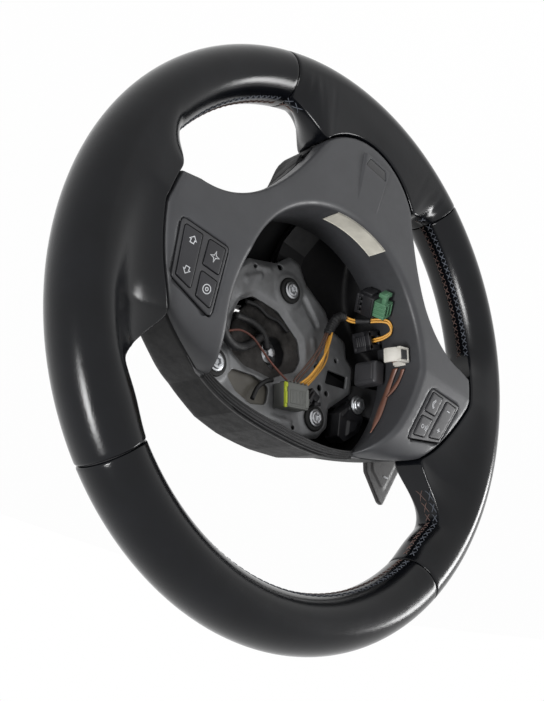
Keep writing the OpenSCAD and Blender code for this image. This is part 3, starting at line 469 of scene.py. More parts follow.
SIDE_LOW_T = -math.degrees(math.asin(SPOKE_LOW / SEAM_R)) + 1.2
SIDE_HIGH_T = 18.6
LOW_EDGE_T = math.degrees(math.asin(LOW_SPOKE_W / 2 / (SEAM_LOW_R - 14)))
SLOPE = math.tan(SWITCH_TILT)
FACE_MID_Z, FACE_MID_Y = 11.0, -10.6
RIDGE_Z, ROLL_Z, ROLL_R = -14.0, 26.0, 33.0
ROLL_Y = FACE_MID_Y + SLOPE * (ROLL_Z - FACE_MID_Z)
ROLL_CZ = ROLL_Z - ROLL_R * math.sin(SWITCH_TILT)
ROLL_CY = ROLL_Y + ROLL_R * math.cos(SWITCH_TILT)
RIDGE_Y = FACE_MID_Y + SLOPE * (RIDGE_Z - FACE_MID_Z)


def cos_d(t):
    return np.cos(np.radians(t))


def sin_d(t):
    return np.sin(np.radians(t))


def face_y(z):
    """Depth of the spoke cover's face by height, negative towards the driver."""
    z = np.asarray(z, float)
    low = mix(RIDGE_Y + 1.6, -17.4, (-60 - z) / (SEAM_LOW_R - 60))
    ridge = mix(RIDGE_Y + 1.6, RIDGE_Y, ease((z + 60) / (RIDGE_Z + 60)))
    flat = FACE_MID_Y + SLOPE * (z - FACE_MID_Z)
    limit = ROLL_CZ + ROLL_R * 0.985
    roll = ROLL_CY - np.sqrt(np.maximum(0, ROLL_R ** 2 - (np.minimum(z, limit) - ROLL_CZ) ** 2))
    end = ROLL_CY - ROLL_R * 0.172 + (z - limit) * 1.2
    return np.where(z < -60, low, np.where(z < RIDGE_Z, ridge, np.where(
        z < ROLL_Z, flat, np.where(z < limit, roll, end))))


def joint_y(z):
    c = np.minimum(z, OPENING_TOP - 6)
    return face_y(c) + mix(14, 4, ease((c - 5) / 32))


def seam_t(t):
    f = np.where(t > 90, 180 - t, np.where(t < -90, -180 - t, t))
    side = np.clip(f, SIDE_LOW_T, SIDE_HIGH_T)
    low = np.clip(f, -90 - LOW_EDGE_T, -90 + LOW_EDGE_T)
    return np.where(f > -45, side, low)


def spoke_seam(t):
    s = seam_t(t)
    return np.where(s > -45, SEAM_R - np.maximum(0, s + 4) * 0.97, SEAM_LOW_R - 0.035 * (s + 90) ** 2)


def into_spoke(t, q=-90.0):
    """How far the section is drawn into a spoke; the lower spoke's back starts nearer its middle."""
    f = np.where(t > 90, 180 - t, np.where(t < -90, -180 - t, t))
    side = ease((f - SIDE_LOW_T + 10) / 10) * ease((SIDE_HIGH_T + 13 - f) / 13)
    low_edge = LOW_EDGE_T - 6.5 * ease((q + 12) / 40)
    low = ease(1 - (np.abs(f + 90) - low_edge) / 10)
    return np.maximum(side, low)


def thumb(t):
    d = np.abs(np.abs(t - 90) - 53)
    return THUMB_RISE * ease(1 - d / 9.5)


def cubic(a, b, c, d, k):
    return a * (1 - k) ** 3 + 3 * b * k * (1 - k) ** 2 + 3 * c * k * k * (1 - k) + d * k ** 3


FOLD_R = 1.5


def nose(t, q, off):
    """Section of the sleeve where it is drawn into a spoke, with a rounded fold at its edge."""
    end = RING_R - spoke_seam(t) - SEAT - off
    y_f = face_y(spoke_seam(t) * sin_d(seam_t(t))) + off
    y_b = 22 - off
    a, b = HALF_W - off, HALF_D - off
    kf = np.clip((q + 90) / 65, 0, 1)
    front = (cubic(0, 14, 15, end - FOLD_R, kf), cubic(-b, -b + 1, y_f - 1.5, y_f, kf))
    turn = np.radians(np.clip((q + 25) / 9, 0, 1) * 90)
    fold = (end - FOLD_R + FOLD_R * np.sin(turn), y_f + FOLD_R - FOLD_R * np.cos(turn))
    kw = np.clip((q + 16) / 36, 0, 1)
    wall = (end + 0 * kw, mix(y_f + FOLD_R, y_b, kw))
    kb = np.clip((90 - q) / 70, 0, 1)
    back = (cubic(0, 10, 18, end, kb), cubic(b, b, y_b - 1, y_b, kb))
    outer = (a * cos_d(q), b * sin_d(q))
    pick = [np.abs(q) > 90, q <= -25, q <= -16, q < 20]
    return (np.select(pick, [outer[0], front[0], fold[0], wall[0]], back[0]),
            np.select(pick, [outer[1], front[1], fold[1], wall[1]], back[1]))


def rim_points(ts, qs, off=0.0):
    """Grid of rim points over wheel angles ts and section angles qs."""
    t, q = np.meshgrid(np.asarray(ts, float), np.asarray(qs, float), indexing="ij")
    off = np.asarray(off, float).reshape(-1, 1) if np.ndim(off) else off
    w = into_spoke(t, q)
    plain_u, plain_y = (HALF_W - off) * cos_d(q), (HALF_D - off) * sin_d(q)
    nose_u, nose_y = nose(t, q, off)
    u, y = mix(plain_u, nose_u, w), mix(plain_y, nose_y, w)
    r = RING_R - u - thumb(t) * np.maximum(0, cos_d(q)) * (1 - w)
    return np.stack([r * cos_d(t), y, r * sin_d(t)], axis=-1)


def creases(ts, qs, amount=0.45):
    """Depth of the folds that cross the sleeve beside its lower joints."""
    t, q = np.meshgrid(np.asarray(ts, float), np.asarray(qs, float), indexing="ij")
    f = np.where(t < -90, -180 - t, t)
    depth = np.zeros_like(t)
    for at, lean, strength in ((-64.2, 0.020, 1.0), (-67.6, -0.016, 0.8), (-71.4, 0.012, 0.45)):
        middle = at + lean * (q + 50)
        depth += strength * np.exp(-((f - middle) / 0.42) ** 2) * ease((q + 92) / 25) * ease((-8 - q) / 20)
        depth -= 0.35 * strength * np.exp(-((f - middle - 1.4) / 0.9) ** 2) * ease((q + 92) / 25) \
            * ease((-8 - q) / 20)
    return amount * depth


EDGE_ROLL, SEAM_GAP = 1.3, 0.08
SECTION = sorted(set(span(-180, -92, 26) + span(-90, -26, 34) + span(-25, -16, 7)
                     + span(-14, 18, 12) + span(20, 88, 22) + span(90, 174, 18)))


def leather_piece(name, t0, t1, node):
    """One sleeve with rolled ends where it is sewn to its neighbours."""
    roll = EDGE_ROLL / RING_R * 180 / math.pi
    start = [(t0 + SEAM_GAP + roll * (1 - math.cos(a)), EDGE_ROLL * (1 - math.sin(a)))
             for a in span(0, math.pi / 2, 4)]
    end = [(t0 + t1 - t, off) for t, off in reversed(start)]
    count = int((t1 - t0 - 2 * roll) / 0.65)
    middle = [(t, 0.0) for t in span(start[-1][0], end[0][0], count)[1:-1]]
    stations = [(start[0][0] + 0.02, 6.0)] + start + middle + end + [(end[-1][0] - 0.02, 6.0)]
    ts = [s[0] for s in stations]
    offs = np.array([s[1] for s in stations])
    grid = rim_points(ts, SECTION, offs)
    centre = np.stack([RING_R * cos_d(np.array(ts)), 0 * np.array(ts), RING_R * sin_d(np.array(ts))], axis=-1)
    inward = centre[:, None, :] - grid
    inward /= np.linalg.norm(inward, axis=-1)[..., None]
    grid = grid + inward * creases(ts, SECTION)[..., None]
    rows, cols = grid.shape[:2]
    faces = grid_faces(rows, cols) + end_caps(rows, cols)
    return add_mesh(name, grid.reshape(-1, 3), faces, "leather", node=node)


leather_piece("leather_top_skin", SEAM_UP, 180 - SEAM_UP, "leather_top")
leather_piece("leather_right_skin", SEAM_LOW, SEAM_UP, "leather_right")
leather_piece("leather_left_skin", 180 - SEAM_UP, 180 - SEAM_LOW, "leather_left")
leather_piece("leather_bottom_skin", -180 - SEAM_LOW, SEAM_LOW, "leather_bottom")

LEATHER_T = 2.2
foam = rim_points(span(-180, 178.5, 239), SECTION, LEATHER_T)
foam_faces = grid_faces(*foam.shape[:2], close_rows=True)
add_mesh("foam_ring", foam.reshape(-1, 3), foam_faces, "foam", node="rim_foam")


# Spoke cover

def quad(a, b, c, n):
    a, b, c = np.asarray(a, float), np.asarray(b, float), np.asarray(c, float)
    return [a * (1 - k) ** 2 + b * 2 * k * (1 - k) + c * k * k for k in span(0, 1, n)]


def pol(r, t):
    return np.array([r * math.cos(math.radians(t)), r * math.sin(math.radians(t))])


def seam_point(t, inset):
    return pol(float(spoke_seam(np.array(t))) - inset, t)


def half_outline(inset):
    """Right half of the spoke cover from the lower spoke's middle to its upper tip."""
    low_end = -90 + LOW_EDGE_T
    low_corner = seam_point(low_end, inset)
    side_corner = seam_point(SIDE_LOW_T, inset)
    high_corner = seam_point(SIDE_HIGH_T, inset)
    tip = pol(OPENING_R + 1.2, 39)
    pts = [seam_point(t, inset) for t in span(-89, low_end, 16)]
    pts += quad(low_corner, (78, -SPOKE_LOW - 2), (side_corner[0] - 12, -SPOKE_LOW), 40)
    pts += [seam_point(t, inset) for t in span(SIDE_LOW_T, SIDE_HIGH_T, 24)]
    pts += quad(high_corner, (94, SPOKE_HIGH + 9.5), tip, 24)
    return pts


def mirror_x(pts):
    return [np.array([-p[0], p[1]]) for p in reversed(pts)]


def opening_arc(r, t0, t1, step=1.5):
    return [pol(r, t) for t in span(t0, t1, int(abs(t1 - t0) / step))]


OPEN_END = 37.5
trim_half = half_outline(0.5)
trim_loop = np.array([seam_point(-90, 0.5)] + trim_half
                     + opening_arc(OPENING_R + 0.2, OPEN_END, -180 - OPEN_END) + mirror_x(trim_half))
trim_loop = resample(rounded(trim_loop, 1.2, 2), 1.1)

BEZEL = [(-12.8, -17.6), (20, -17.6), (12, 13), (-19.5, 21.4)]
STAR = [(-10.9, -15.6), (0.4, -15.4), (-1.9, -1.6), (-13.4, -1.2)]
ROUND = [(-14, 2.6), (-2.6, 1.8), (-5.6, 15.2), (-16.6, 17.4)]
ROCKER = [(5.2, -15.2), (17, -15), (10.2, 11), (-1, 13.6)]


def on_switch(side):
    """Turns (x outwards, y up the face, z out of it) into points on one side's switch face."""
    ca, sa = math.cos(math.pi / 2 - SWITCH_TILT), math.sin(math.pi / 2 - SWITCH_TILT)

    def to_space(u, v, w):
        u, v, w = np.broadcast_arrays(np.asarray(u, float), np.asarray(v, float), np.asarray(w, float))
        return np.stack([side * (SWITCH_AT[0] + u), SWITCH_AT[1] + v * ca - w * sa,
                         SWITCH_AT[2] + v * sa + w * ca], axis=-1)
    return to_space


def bezel_in_plan(side, grow):
    """The switch frame's outline as seen from the driver's seat."""
    pts = on_switch(side)(*(np.array(rounded(np.array(BEZEL) * grow, 2.2, 5)).T), 0.0)
    return pts[:, [0, 2]]


def front(u, v, w):
    u, v, w = np.broadcast_arrays(np.asarray(u, float), np.asarray(v, float), np.asarray(w, float))
    return np.stack([u, -w, v], axis=-1)


BADGE_Z = -(SEAM_LOW_R - 17)
BADGE = [(-10.5, BADGE_Z + 3.5), (-8, BADGE_Z - 3.5), (8, BADGE_Z - 3.5), (10.5, BADGE_Z + 3.5)]
WEDGE_FOOT, WEDGE_LONG, WEDGE_RISE = BADGE_Z - 5.5, 37.5, 2.0
WEDGE_HALF, WEDGE_TIP = 12.5, 9.5


def wedge_height(u, v):
    """Raised panel that rises from the face towards the badge."""
    rise = WEDGE_RISE * np.clip((BADGE_Z + 30 - v) / 30, 0, 1) ** 0.8
    half = mix(WEDGE_HALF, WEDGE_TIP, np.clip((v - WEDGE_FOOT) / WEDGE_LONG, 0, 1))
    side = ease((half + 0.6 - np.abs(u)) / 1.2)
    end = ease((v - WEDGE_FOOT + 0.6) / 1.4)
    return rise * side * end * (v < BADGE_Z + 31)


def trim_top(u, v):
    return -face_y(v) + wedge_height(u, v)


def trim_bottom(u, v):
    r = np.hypot(u, v)
    base = -(joint_y(v) - SEAT)
    return np.where(r < OPENING_R + 0.8, np.minimum(base, -SKIRT_Y), base)


wedge_lines = []
for edge_shift in (-0.9, -0.6, -0.3, 0.0, 0.3, 0.6, 0.9):
    for k in span(0, 1, 40):
        half = mix(WEDGE_HALF, WEDGE_TIP, k) + edge_shift
        wedge_lines += [(side * half, WEDGE_FOOT + WEDGE_LONG * k) for side in (1, -1)]
    wedge_lines += [(u, WEDGE_FOOT + 0.1 + edge_shift) for u in span(-WEDGE_HALF, WEDGE_HALF, 26)]

badge_hole = resample(rounded(BADGE, 0.8, 3), 0.8)
points, faces = moulded(trim_loop, [bezel_in_plan(1, 1.03), bezel_in_plan(-1, 1.03), badge_hole],
                        trim_top, 4.0, front, step=2.2, bottom=trim_bottom, wall=2.4, hole_edge=0.6,
                        extra=[wedge_lines])
add_mesh("spoke_cover", points, faces, "trim", node="front_trim")
BADGE_SCALE = 0.985
badge_loop = resample(rounded(BADGE, 0.7, 3), 0.8) * BADGE_SCALE + np.array([0, BADGE_Z * (1 - BADGE_SCALE)])


def badge_top(u, v):
    return trim_top(u * 0, v) - 0.5


points, faces = moulded(badge_loop, [], badge_top, 0.5, front, step=1.2, wall=1.2)
add_mesh("badge_blank", points, faces, "badge", node="badge_insert")


# Rear cover

BACK_R = [37, 48, 56, 62, 70, 80, 90, 100, 120, 140]
BACK_Y = [78, 77, 73, 68, 64, 60.5, 54, 46, 33.5, 25]


def back_y(u, v):
    r = np.hypot(u, v)
    shifts = (-5, -2.5, 0, 2.5, 5)
    soft = sum(np.interp(r + d, BACK_R, BACK_Y) for d in shifts) / len(shifts)
    return np.where(r < 42, np.interp(r, BACK_R, BACK_Y), soft)


def back_to_space(u, v, w):
    u, v, w = np.broadcast_arrays(np.asarray(u, float), np.asarray(v, float), np.asarray(w, float))
    return np.stack([u, w, v], axis=-1)


def wall_lean(u, v):
    """How far the cover's walls lean in at the back, beside the windows and not at the leather."""
    r, t = np.hypot(u, v), np.degrees(np.arctan2(v, u))
    to_leather = np.abs(r - spoke_seam(t))
    beside = ease((to_leather - 3) / 12)
    return 8.0 * beside * ease((8 - v) / 14) + 0.6 * ease(v / 40)


cover_half = half_outline(0.3)
COVER_TOP = [(36, 61.4), (14, 63.6), (-14, 63.6), (-36, 61.4)]
cover_loop = np.array([seam_point(-90, 0.3)] + cover_half + COVER_TOP + mirror_x(cover_half))
cover_loop = resample(rounded(cover_loop, 2.5, 3), 2.0)
lean = wall_lean(*cover_loop.T)
cover_loop = cover_loop - normals_2d(cover_loop) * (lean * np.sign(signed_area(cover_loop)))[:, None]
FLARE_ROWS = [(0.2, 0.25), (0.45, 0.5), (0.7, 0.78), (0.88, 0.93), (1.0, 1.0)]
points, faces = moulded(cover_loop, [circle(0, 0, 37.0, 72)], back_y, 6.0, back_to_space, step=3.2,
                        bottom=lambda u, v: joint_y(v), wall=2.4, hole_edge=1.0, hole_depth=2.4,
                        flare=wall_lean, flare_rows=FLARE_ROWS)
add_mesh("rear_shell", points, reversed_faces(faces), "cover", node="rear_cover")


def ring(r_in, r_out, y0, y1, edge, n=96):
    """Section points of a turned ring, outside first."""
    e = edge
    profile = [(r_in + e, y1), (r_out - e, y1), (r_out - e * 0.3, y1 - e * 0.3), (r_out, y1 - e), (r_out, y0),
               (r_in, y0), (r_in, y1 - e), (r_in + e * 0.3, y1 - e * 0.3)]
    pts = [[(r * math.cos(2 * math.pi * i / n), y, r * math.sin(2 * math.pi * i / n)) for r, y in profile]
           for i in range(n)]
    return np.array(pts).reshape(-1, 3), grid_faces(n, len(profile), True, True)


points, faces = ring(37.0, 39.6, 77, 85, 0.8)
add_mesh("collar", points, faces, "cover")


# Switch packs

def key_piece(name, side, pts, body, node, material="key"):
    outline = resample(rounded(pts, 1.1, 4), 0.7)
    centre = outline.mean(axis=0)
    reach = np.abs(outline - centre).max(axis=0)

    def top(u, v):
        du, dv = (u - centre[0]) / reach[0], (v - centre[1]) / reach[1]
        return KEY_TOP - 0.25 * (du * du + dv * dv) * 0.5

    pts3, fcs = moulded(outline, [], top, 0.7, on_switch(side), step=1.3, wall=5.0,
                        bottom=lambda u, v: 0 * u - 5.2, rings=4)
    if side < 0:
        fcs = reversed_faces(fcs)
    return add_mesh(name, pts3, fcs, material, body=body, node=node)


def switch_frame(name, side, node):
    outline = resample(rounded(BEZEL, 2.2, 5), 0.9)
    holes = [resample(rounded(grow_key(k, 0.4), 1.4, 4), 0.8) for k in (ROCKER, STAR, ROUND)]
    pts3, fcs = moulded(outline, holes, lambda u, v: 0 * u + 0.4, 0.9, on_switch(side), step=1.6, wall=6.0,
                        bottom=lambda u, v: 0 * u - 7.5, hole_edge=0.35, rings=4)
    if side < 0:
        fcs = reversed_faces(fcs)
    return add_mesh(name, pts3, fcs, "bezel", node=node)


def grow_key(pts, grow):
    pts = np.asarray(pts, float)
    c = pts.mean(axis=0)
    return pts + grow * np.sign(pts - c)


for side, word in ((1, "right"), (-1, "left")):
    switch_frame("switch_bezel_" + word, side, "switch_frame_" + word)
    key_piece("rocker_cap_" + word, side, ROCKER, "rocker_" + word, "rocker_" + word)
key_piece("star_cap", 1, STAR, "star_key", "star_key")
key_piece("round_cap", 1, ROUND, "round_key", "round_key")
key_piece("phone_cap", -1, STAR, "phone_key", "phone_key")
key_piece("speech_cap", -1, ROUND, "speech_key", "speech_key")


# Small building blocks

def smooth_path(points, steps=8):
    """Points along a smooth curve through the given ones."""
    p = [np.asarray(q, float) for q in points]
    p = [2 * p[0] - p[1]] + p + [2 * p[-1] - p[-2]]
    out = []
    for i in range(1, len(p) - 2):
        a, b, c, d = p[i - 1], p[i], p[i + 1], p[i + 2]
        for k in span(0, 1, steps)[:-1]:
            out.append(0.5 * (2 * b + (c - a) * k + (2 * a - 5 * b + 4 * c - d) * k ** 2
                              + (3 * b - a - 3 * c + d) * k ** 3))
    return out + [p[-2]]


def tube(path, radius, sides=10, radii=None):
    """Points and faces of a closed tube along a path; radii gives each point's own radius."""
    path = [np.asarray(q, float) for q in path]
    up = np.array([0.11, 1.0, 0.07])
    rows = []
    for i, q in enumerate(path):
        d = path[min(i + 1, len(path) - 1)] - path[max(i - 1, 0)]
        d /= max(1e-9, np.linalg.norm(d))
        side = np.cross(d, up)
        side /= np.linalg.norm(side)
        over = np.cross(side, d)
        r = radius if radii is None else radii[i]
        rows.append([q + r * (math.cos(a) * side + math.sin(a) * over)
                     for a in (2 * math.pi * j / sides for j in range(sides))])
    return np.array(rows).reshape(-1, 3), grid_faces(len(rows), sides) + end_caps(len(rows), sides)


def joined(parts):
    """One mesh of several (points, faces)."""
    points, faces, start = [], [], 0
    for pts, fcs in parts:
        points.append(np.asarray(pts, float))
        faces += [tuple(start + i for i in f) for f in fcs]
        start += len(pts)
    return np.concatenate(points), faces


def lathe(profile, x, z, sides=40, lobes=None):
    """A turned form about an axis along y; lobes gives each profile point's six-lobed wave."""
    lobes = lobes or [0.0] * len(profile)
    pts = []
    for i in range(sides):
        a = 2 * math.pi * i / sides
        for (r, y), wave in zip(profile, lobes):
            rr = r * (1 + wave * math.cos(6 * a))
            pts.append((x + rr * math.cos(a), y, z + rr * math.sin(a)))
    return np.array(pts), reversed_faces(grid_faces(sides, len(profile), False, True))


def block(size, bevel=0.4, segments=2):
    """A box about the origin with rounded edges."""
    bm = bmesh.new()
    bmesh.ops.create_cube(bm, size=1.0)
    for v in bm.verts:
        v.co = Vector((v.co.x * size[0], v.co.y * size[1], v.co.z * size[2]))
    bmesh.ops.bevel(bm, geom=list(bm.edges), offset=min(bevel, min(size) * 0.45), segments=segments,
                    affect="EDGES", profile=0.5)
    pts = np.array([tuple(v.co) for v in bm.verts])
    faces = [tuple(v.index for v in f.verts) for f in bm.faces]
    bm.free()
    return pts, faces


def moved(part, at, turn=None):
    pts, faces = part
    if turn is not None:
        pts = pts @ np.asarray(turn).T
    return pts + np.asarray(at, float), faces


def turn_about(axis, degrees):
    return np.array(Matrix.Rotation(math.radians(degrees), 3, Vector(axis)))


def wobble(points, amount, scale):
    """Moves points by smooth noise, along each axis by its own."""
    shifts = [Vector(s) for s in ((9.3, -1.5, -8.0), (0.0, 0.0, 0.0), (6.3, 0.2, -2.7))]
    return np.array([q + amount * np.array([noise_value(Vector(q * scale) + s) for s in shifts])
                     for q in np.array(points, float)])


# Shift paddles

PADDLE_Y, PADDLE_T = 49.0, 3.4
PIN = (112.0, 55.0)
PIN_R, PIN_GAP, BARREL_R = 1.5, 0.3, 3.6
BARREL_Z = (-6.6, 14.6)
BLADE = [(118, -10), (132, -10), (152, 6), (156, 20), (139, 61), (134, 60), (115, 43), (110, 28), (111, 21),
         (118, 20)]
FIELD = [(124, -4), (131, -4), (147, 9), (150, 19), (137, 52), (120, 40), (117, 28), (121, 14)]
FIELD_RISE = 0.5
field_loop = rounded(FIELD, 5.0, 4)


def paddle_face(u, v):
    """Front face of a paddle: a raised field inside a sloping border."""
    return FIELD_RISE * (raised_inside(u, v, field_loop, 1.6) - 1) - PADDLE_Y


def barrel_part(r_in, r_out, z0, z1, n=28):
    """A tube about the paddle's pin."""
    pts = [[PIN[0] + r * math.cos(2 * math.pi * i / n), PIN[1] + r * math.sin(2 * math.pi * i / n), z]
           for i in range(n) for r, z in ((r_in, z0), (r_out, z0 + 0.3), (r_out, z1 - 0.3), (r_in, z1))]
    return np.array(pts), grid_faces(n, 4, True, True)


def paddle_part():
    """The right paddle's blade, its barrel on the pin and the webs between them."""
    outline = resample(rounded(BLADE, 4.0, 5), 1.2)
    blade = moulded(outline, [], paddle_face, 1.2, front, step=1.3, wall=PADDLE_T - 0.9,
                    bottom=lambda u, v: 0 * u - PADDLE_Y - PADDLE_T + 0.2)
    middle, long_z = sum(BARREL_Z) / 2, BARREL_Z[1] - BARREL_Z[0]
    return joined([blade, barrel_part(PIN_R + PIN_GAP, BARREL_R, *BARREL_Z),
                   moved(block((7.0, 2.6, long_z), 0.5), (PIN[0] + 4.6, PADDLE_Y + 2.0, middle)),
                   moved(block((4.6, 2.6, long_z - 0.6), 0.4), (PIN[0] + 0.6, PADDLE_Y + 3.0 - 0.9, middle))])


right_paddle = paddle_part()
add_mesh("paddle_blade_right", *right_paddle, "paddle", body="paddle_right", node="paddle_right")
add_mesh("paddle_blade_left", *mirrored(right_paddle), "paddle", body="paddle_left", node="paddle_left")


# Carrier plate with its pressings

def capsule(u, v, a, b):
    """Distance to the line from a to b."""
    ax, az = a
    dx, dz = b[0] - a[0], b[1] - a[1]
    k = np.clip(((u - ax) * dx + (v - az) * dz) / (dx * dx + dz * dz), 0, 1)
    return np.hypot(u - ax - k * dx, v - az - k * dz)


SCREWS = [(45.5, 30), (-45.5, 30), (0, -45.5)]
HALF_PLATE = [(5, -71), (15, -60), (39, -50), (48, -40), (64, -37), (68, -26), (77, -22), (79, -3), (60, 17),
              (62, 30), (55, 41), (41, 47), (16, 48.5)]
KIDNEY = [(39, -6), (37, -19), (27, -27.5), (16, -28), (3, -28), (-9, -22), (-20, -17), (-25.5, -5), (-23, 5),
          (-14, 11), (-4, 18.5), (8, 19), (20, 20), (32, 16), (38, 6)]
LOWER_CUT = [(-2, 26), (12, 24), (30, 27), (33, 33), (24, 39.5), (10, 42.5), (-3, 38)]
WINDOW = [(51, -9), (71, -12.5), (71.5, -3), (50.5, 1.5)]
RIBS = [((38, -34), (27, -43), 2.4, 0.9), ((-15, -47), (-31, -35), 2.6, -1.3),
        ((-32, -22), (-37, -8), 2.4, 0.9), ((50, 8), (52, 17), 2.2, 0.8),
        ((-46, 12), (-49, 18), 2.0, 0.8), ((-26, 41), (-10, 44), 2.0, 0.7),
        ((45, -18), (49, -4), 2.2, 0.8), ((20, -52), (30, -48), 1.8, 0.6)]
SMALL_HOLES = [(-46.5, 7.0, 2.2), (-38.5, -6.0, 1.6), (-30, 43.0, 1.4), (12, -58, 2.2), (-37, 17, 1.2),
               (-54, 8, 1.9), (46, 8, 2.0), (-57, -19, 1.9), (33, -47, 1.5)]
plate_loop = resample(rounded(HALF_PLATE + mirror_x(HALF_PLATE), 5.0, 5), 1.5)
kidney_loop = resample(rounded(KIDNEY, 7.0, 4), 1.4)


def plate_top(u, v):
    """Height of the pressed sheet towards the driver."""
    h = np.zeros_like(u)
    for a, b, half, rise in RIBS:
        h += rise * ease((half + 0.6 - capsule(u, v, a, b)) / 1.5)
    for x, z in SCREWS:
        h += 0.9 * ease((13.5 - np.hypot(u - x, v - z)) / 1.8)
    pts = np.stack([u, v], axis=1)
    edge = edge_distance(pts, [plate_loop])
    h -= 1.4 * ease((3.4 - edge) / 3.0)
    turned_in = edge_distance(pts, [kidney_loop])
    h -= 2.2 * ease((4.2 - turned_in) / 4.0)
    h += 1.5 * ease((u - 30) / 12) * ease((-16 - v) / 8)
    return -PLATE_Y + h


plate_holes = [kidney_loop, resample(rounded(LOWER_CUT, 4.0, 4), 1.4)]
plate_holes += [resample(rounded([(side * x, z) for x, z in WINDOW], 1.0, 3), 1.2) for side in (1, -1)]
plate_holes += [circle(x, z, 6.4, 28) for x, z in SCREWS]
plate_holes += [circle(x, z, r, 14) for x, z, r in SMALL_HOLES]
points, faces = moulded(plate_loop, plate_holes, plate_top, 0.8, front, step=1.5, wall=2.0, hole_edge=0.5,
                        rings=3)
add_mesh("carrier_pressing", points, faces, "plate", node="carrier_plate")

# Smooth tray seen through the lower cut
tray = resample(rounded([(-6, 21), (14, 21), (34, 24), (37, 34), (26, 43), (10, 46), (-7, 40)], 4, 4), 1.5)
points, faces = moulded(tray, [], lambda u, v: -PLATE_Y - 2.8 - 0.8 * ease((v - 36) / 8), 0.8, front,
                        step=2.0, wall=1.2)
add_mesh("plate_tray", points, faces, "tray")

# Rubber bushes and their screws: a flat flanged disc with a six-lobed socket
BUSH = [(4.6, 40.4), (6.4, 40.4), (7.6, 40.3), (8.4, 40.5), (9.0, 41.0), (9.2, 41.6), (8.6, 42.2),
        (6.0, 42.3), (6.0, 47.1), (9.0, 47.2), (9.0, 49.6), (3.1, 49.6), (3.1, 40.6), (4.6, 40.4)]
SCREW = [(0.0, 40.0), (1.5, 40.0), (2.1, 39.8), (2.25, 38.5), (2.5, 38.25), (4.1, 38.2), (4.5, 38.45),
         (4.65, 39.3), (4.9, 39.45), (5.7, 39.5), (6.0, 39.7), (6.0, 40.1), (5.7, 40.3), (3.0, 40.3),
         (3.0, 54.0), (0.0, 54.0)]
bush_parts = [lathe(BUSH, x, z) for x, z in SCREWS]
screw_parts = [lathe(SCREW, x, z, 48, [0, 0, 0.14, 0.14, 0.05] + [0] * 11) for x, z in SCREWS]
add_mesh("bushes", *joined(bush_parts), "rubber", node="rubber_bushes")
add_mesh("screws", *joined(screw_parts), "steel", node="carrier_screws")


# Felted pad, lumpy, with the leads' black sleeves across it

def lumps(u, v, scale, depth):
    return np.array([noise_value(Vector((x * scale, z * scale, depth))) for x, z in zip(u, v)])


def felt_top(u, v):
    """Height of the pad's face, with lumps and a swelling beside the plate's cut."""
    out = lumps(u, v, 0.13, 3.1) + 0.5 * lumps(u, v, 0.33, 7.7)
    return -46.6 + 1.3 * out + 1.2 * ease((14 - np.hypot(u - 16, v + 16)) / 12)


pad = resample(circle(0, 0, 35.5, 60), 2.0)
points, faces = moulded(pad, [circle(-2, 0, 10.6, 30)], felt_top, 1.2, front, step=1.1, wall=1.6,
                        hole_edge=0.8, rings=2)
add_mesh("felt_pad", points, faces, "felt", node="foam_pad")

sleeves = [
    ([(60, 26, 12), (50, 33, 14), (40, 37.5, 15), (30, 40, 12.5), (21, 42.1, 5), (14, 43.4, -3)], 3.1),
    ([(43, 36.5, -3), (34, 39.5, -6), (24, 41.5, -8), (13, 42.8, -6), (6, 44.0, 2)], 2.4),
    ([(33, 43, -20), (22, 43.6, -22), (12, 44, -20), (2, 44.2, -21), (-8, 44.5, -18)], 1.4),
    ([(-2, 41.4, 21), (3, 40.8, 24), (9, 40.6, 31), (11, 40.9, 40)], 1.5)]
sleeve_parts = [tube(smooth_path(path, 7), radius, 12) for path, radius in sleeves]
add_mesh("harness", *joined(sleeve_parts), "tape", node="harness_tube")


# Shaft end and its nut, seen through the pad
add_mesh("shaft_end", *lathe([(0.0, 47.5), (2.6, 47.5), (3.3, 48.2), (3.5, 51.5), (6.4, 51.6), (6.8, 52.2),
                              (6.8, 56.0), (8.4, 56.2), (8.4, 60.0), (0.0, 60.0)], -1.5, 0.0, 36,
                             [0, 0, 0.1, 0.1] + [0] * 6), "steel")


# Plug with its grey housing, lime lock and the leads that fan out of it

PLUG_AT, PLUG_TURN = (-18.4, 36.4, 27.0), -15.0
plug_turn = turn_about((0, 1, 0), PLUG_TURN)


def on_plug(at, *block_sizes):
    return moved(moved(block(*block_sizes), at), PLUG_AT, plug_turn)


plug_parts = [on_plug((0, 0.55, 0), (19.0, 11.5, 16.0), 0.9, 3),
              on_plug((1.25, -5.2, 0.8), (12.5, 1.2, 9.0), 0.35),
              on_plug((-7.9, -5.3, 0.6), (2.2, 1.4, 12.0)),
              on_plug((0, -4.8, 7.4), (17.4, 1.6, 1.2)),
              on_plug((0, -3.4, -7.9), (18.4, 3.2, 1.0)),
              on_plug((-10.8, -2.0, 2.0), (3.4, 2.4, 5.0), 0.5)]
plug_parts += [on_plug((-8.6 + 3.4 * i, -0.4, -8.6), (1.1, 8.0, 2.2), 0.3) for i in range(6)]
plug_parts += [on_plug((-3.4 + 3.0 * i, -5.9, 0.8), (0.7, 0.5, 7.4), 0.2) for i in range(4)]
add_mesh("plug_body", *joined(plug_parts), "plug", node="plug_housing")
lime = [on_plug((11.0, -4.25, 0), (2.2, 1.5, 16.6)),
        on_plug((10.9, -5.1, -6.4), (2.0, 1.2, 3.0)),
        on_plug((11.1, -5.2, 2.0), (1.4, 1.0, 8.0), 0.3)]
add_mesh("plug_slide_back", *on_plug((11.0, 1.3, 0), (2.0, 9.6, 16.2), 0.45), "plug")
add_mesh("plug_slide", *joined(lime), "lime", node="plug_lock")
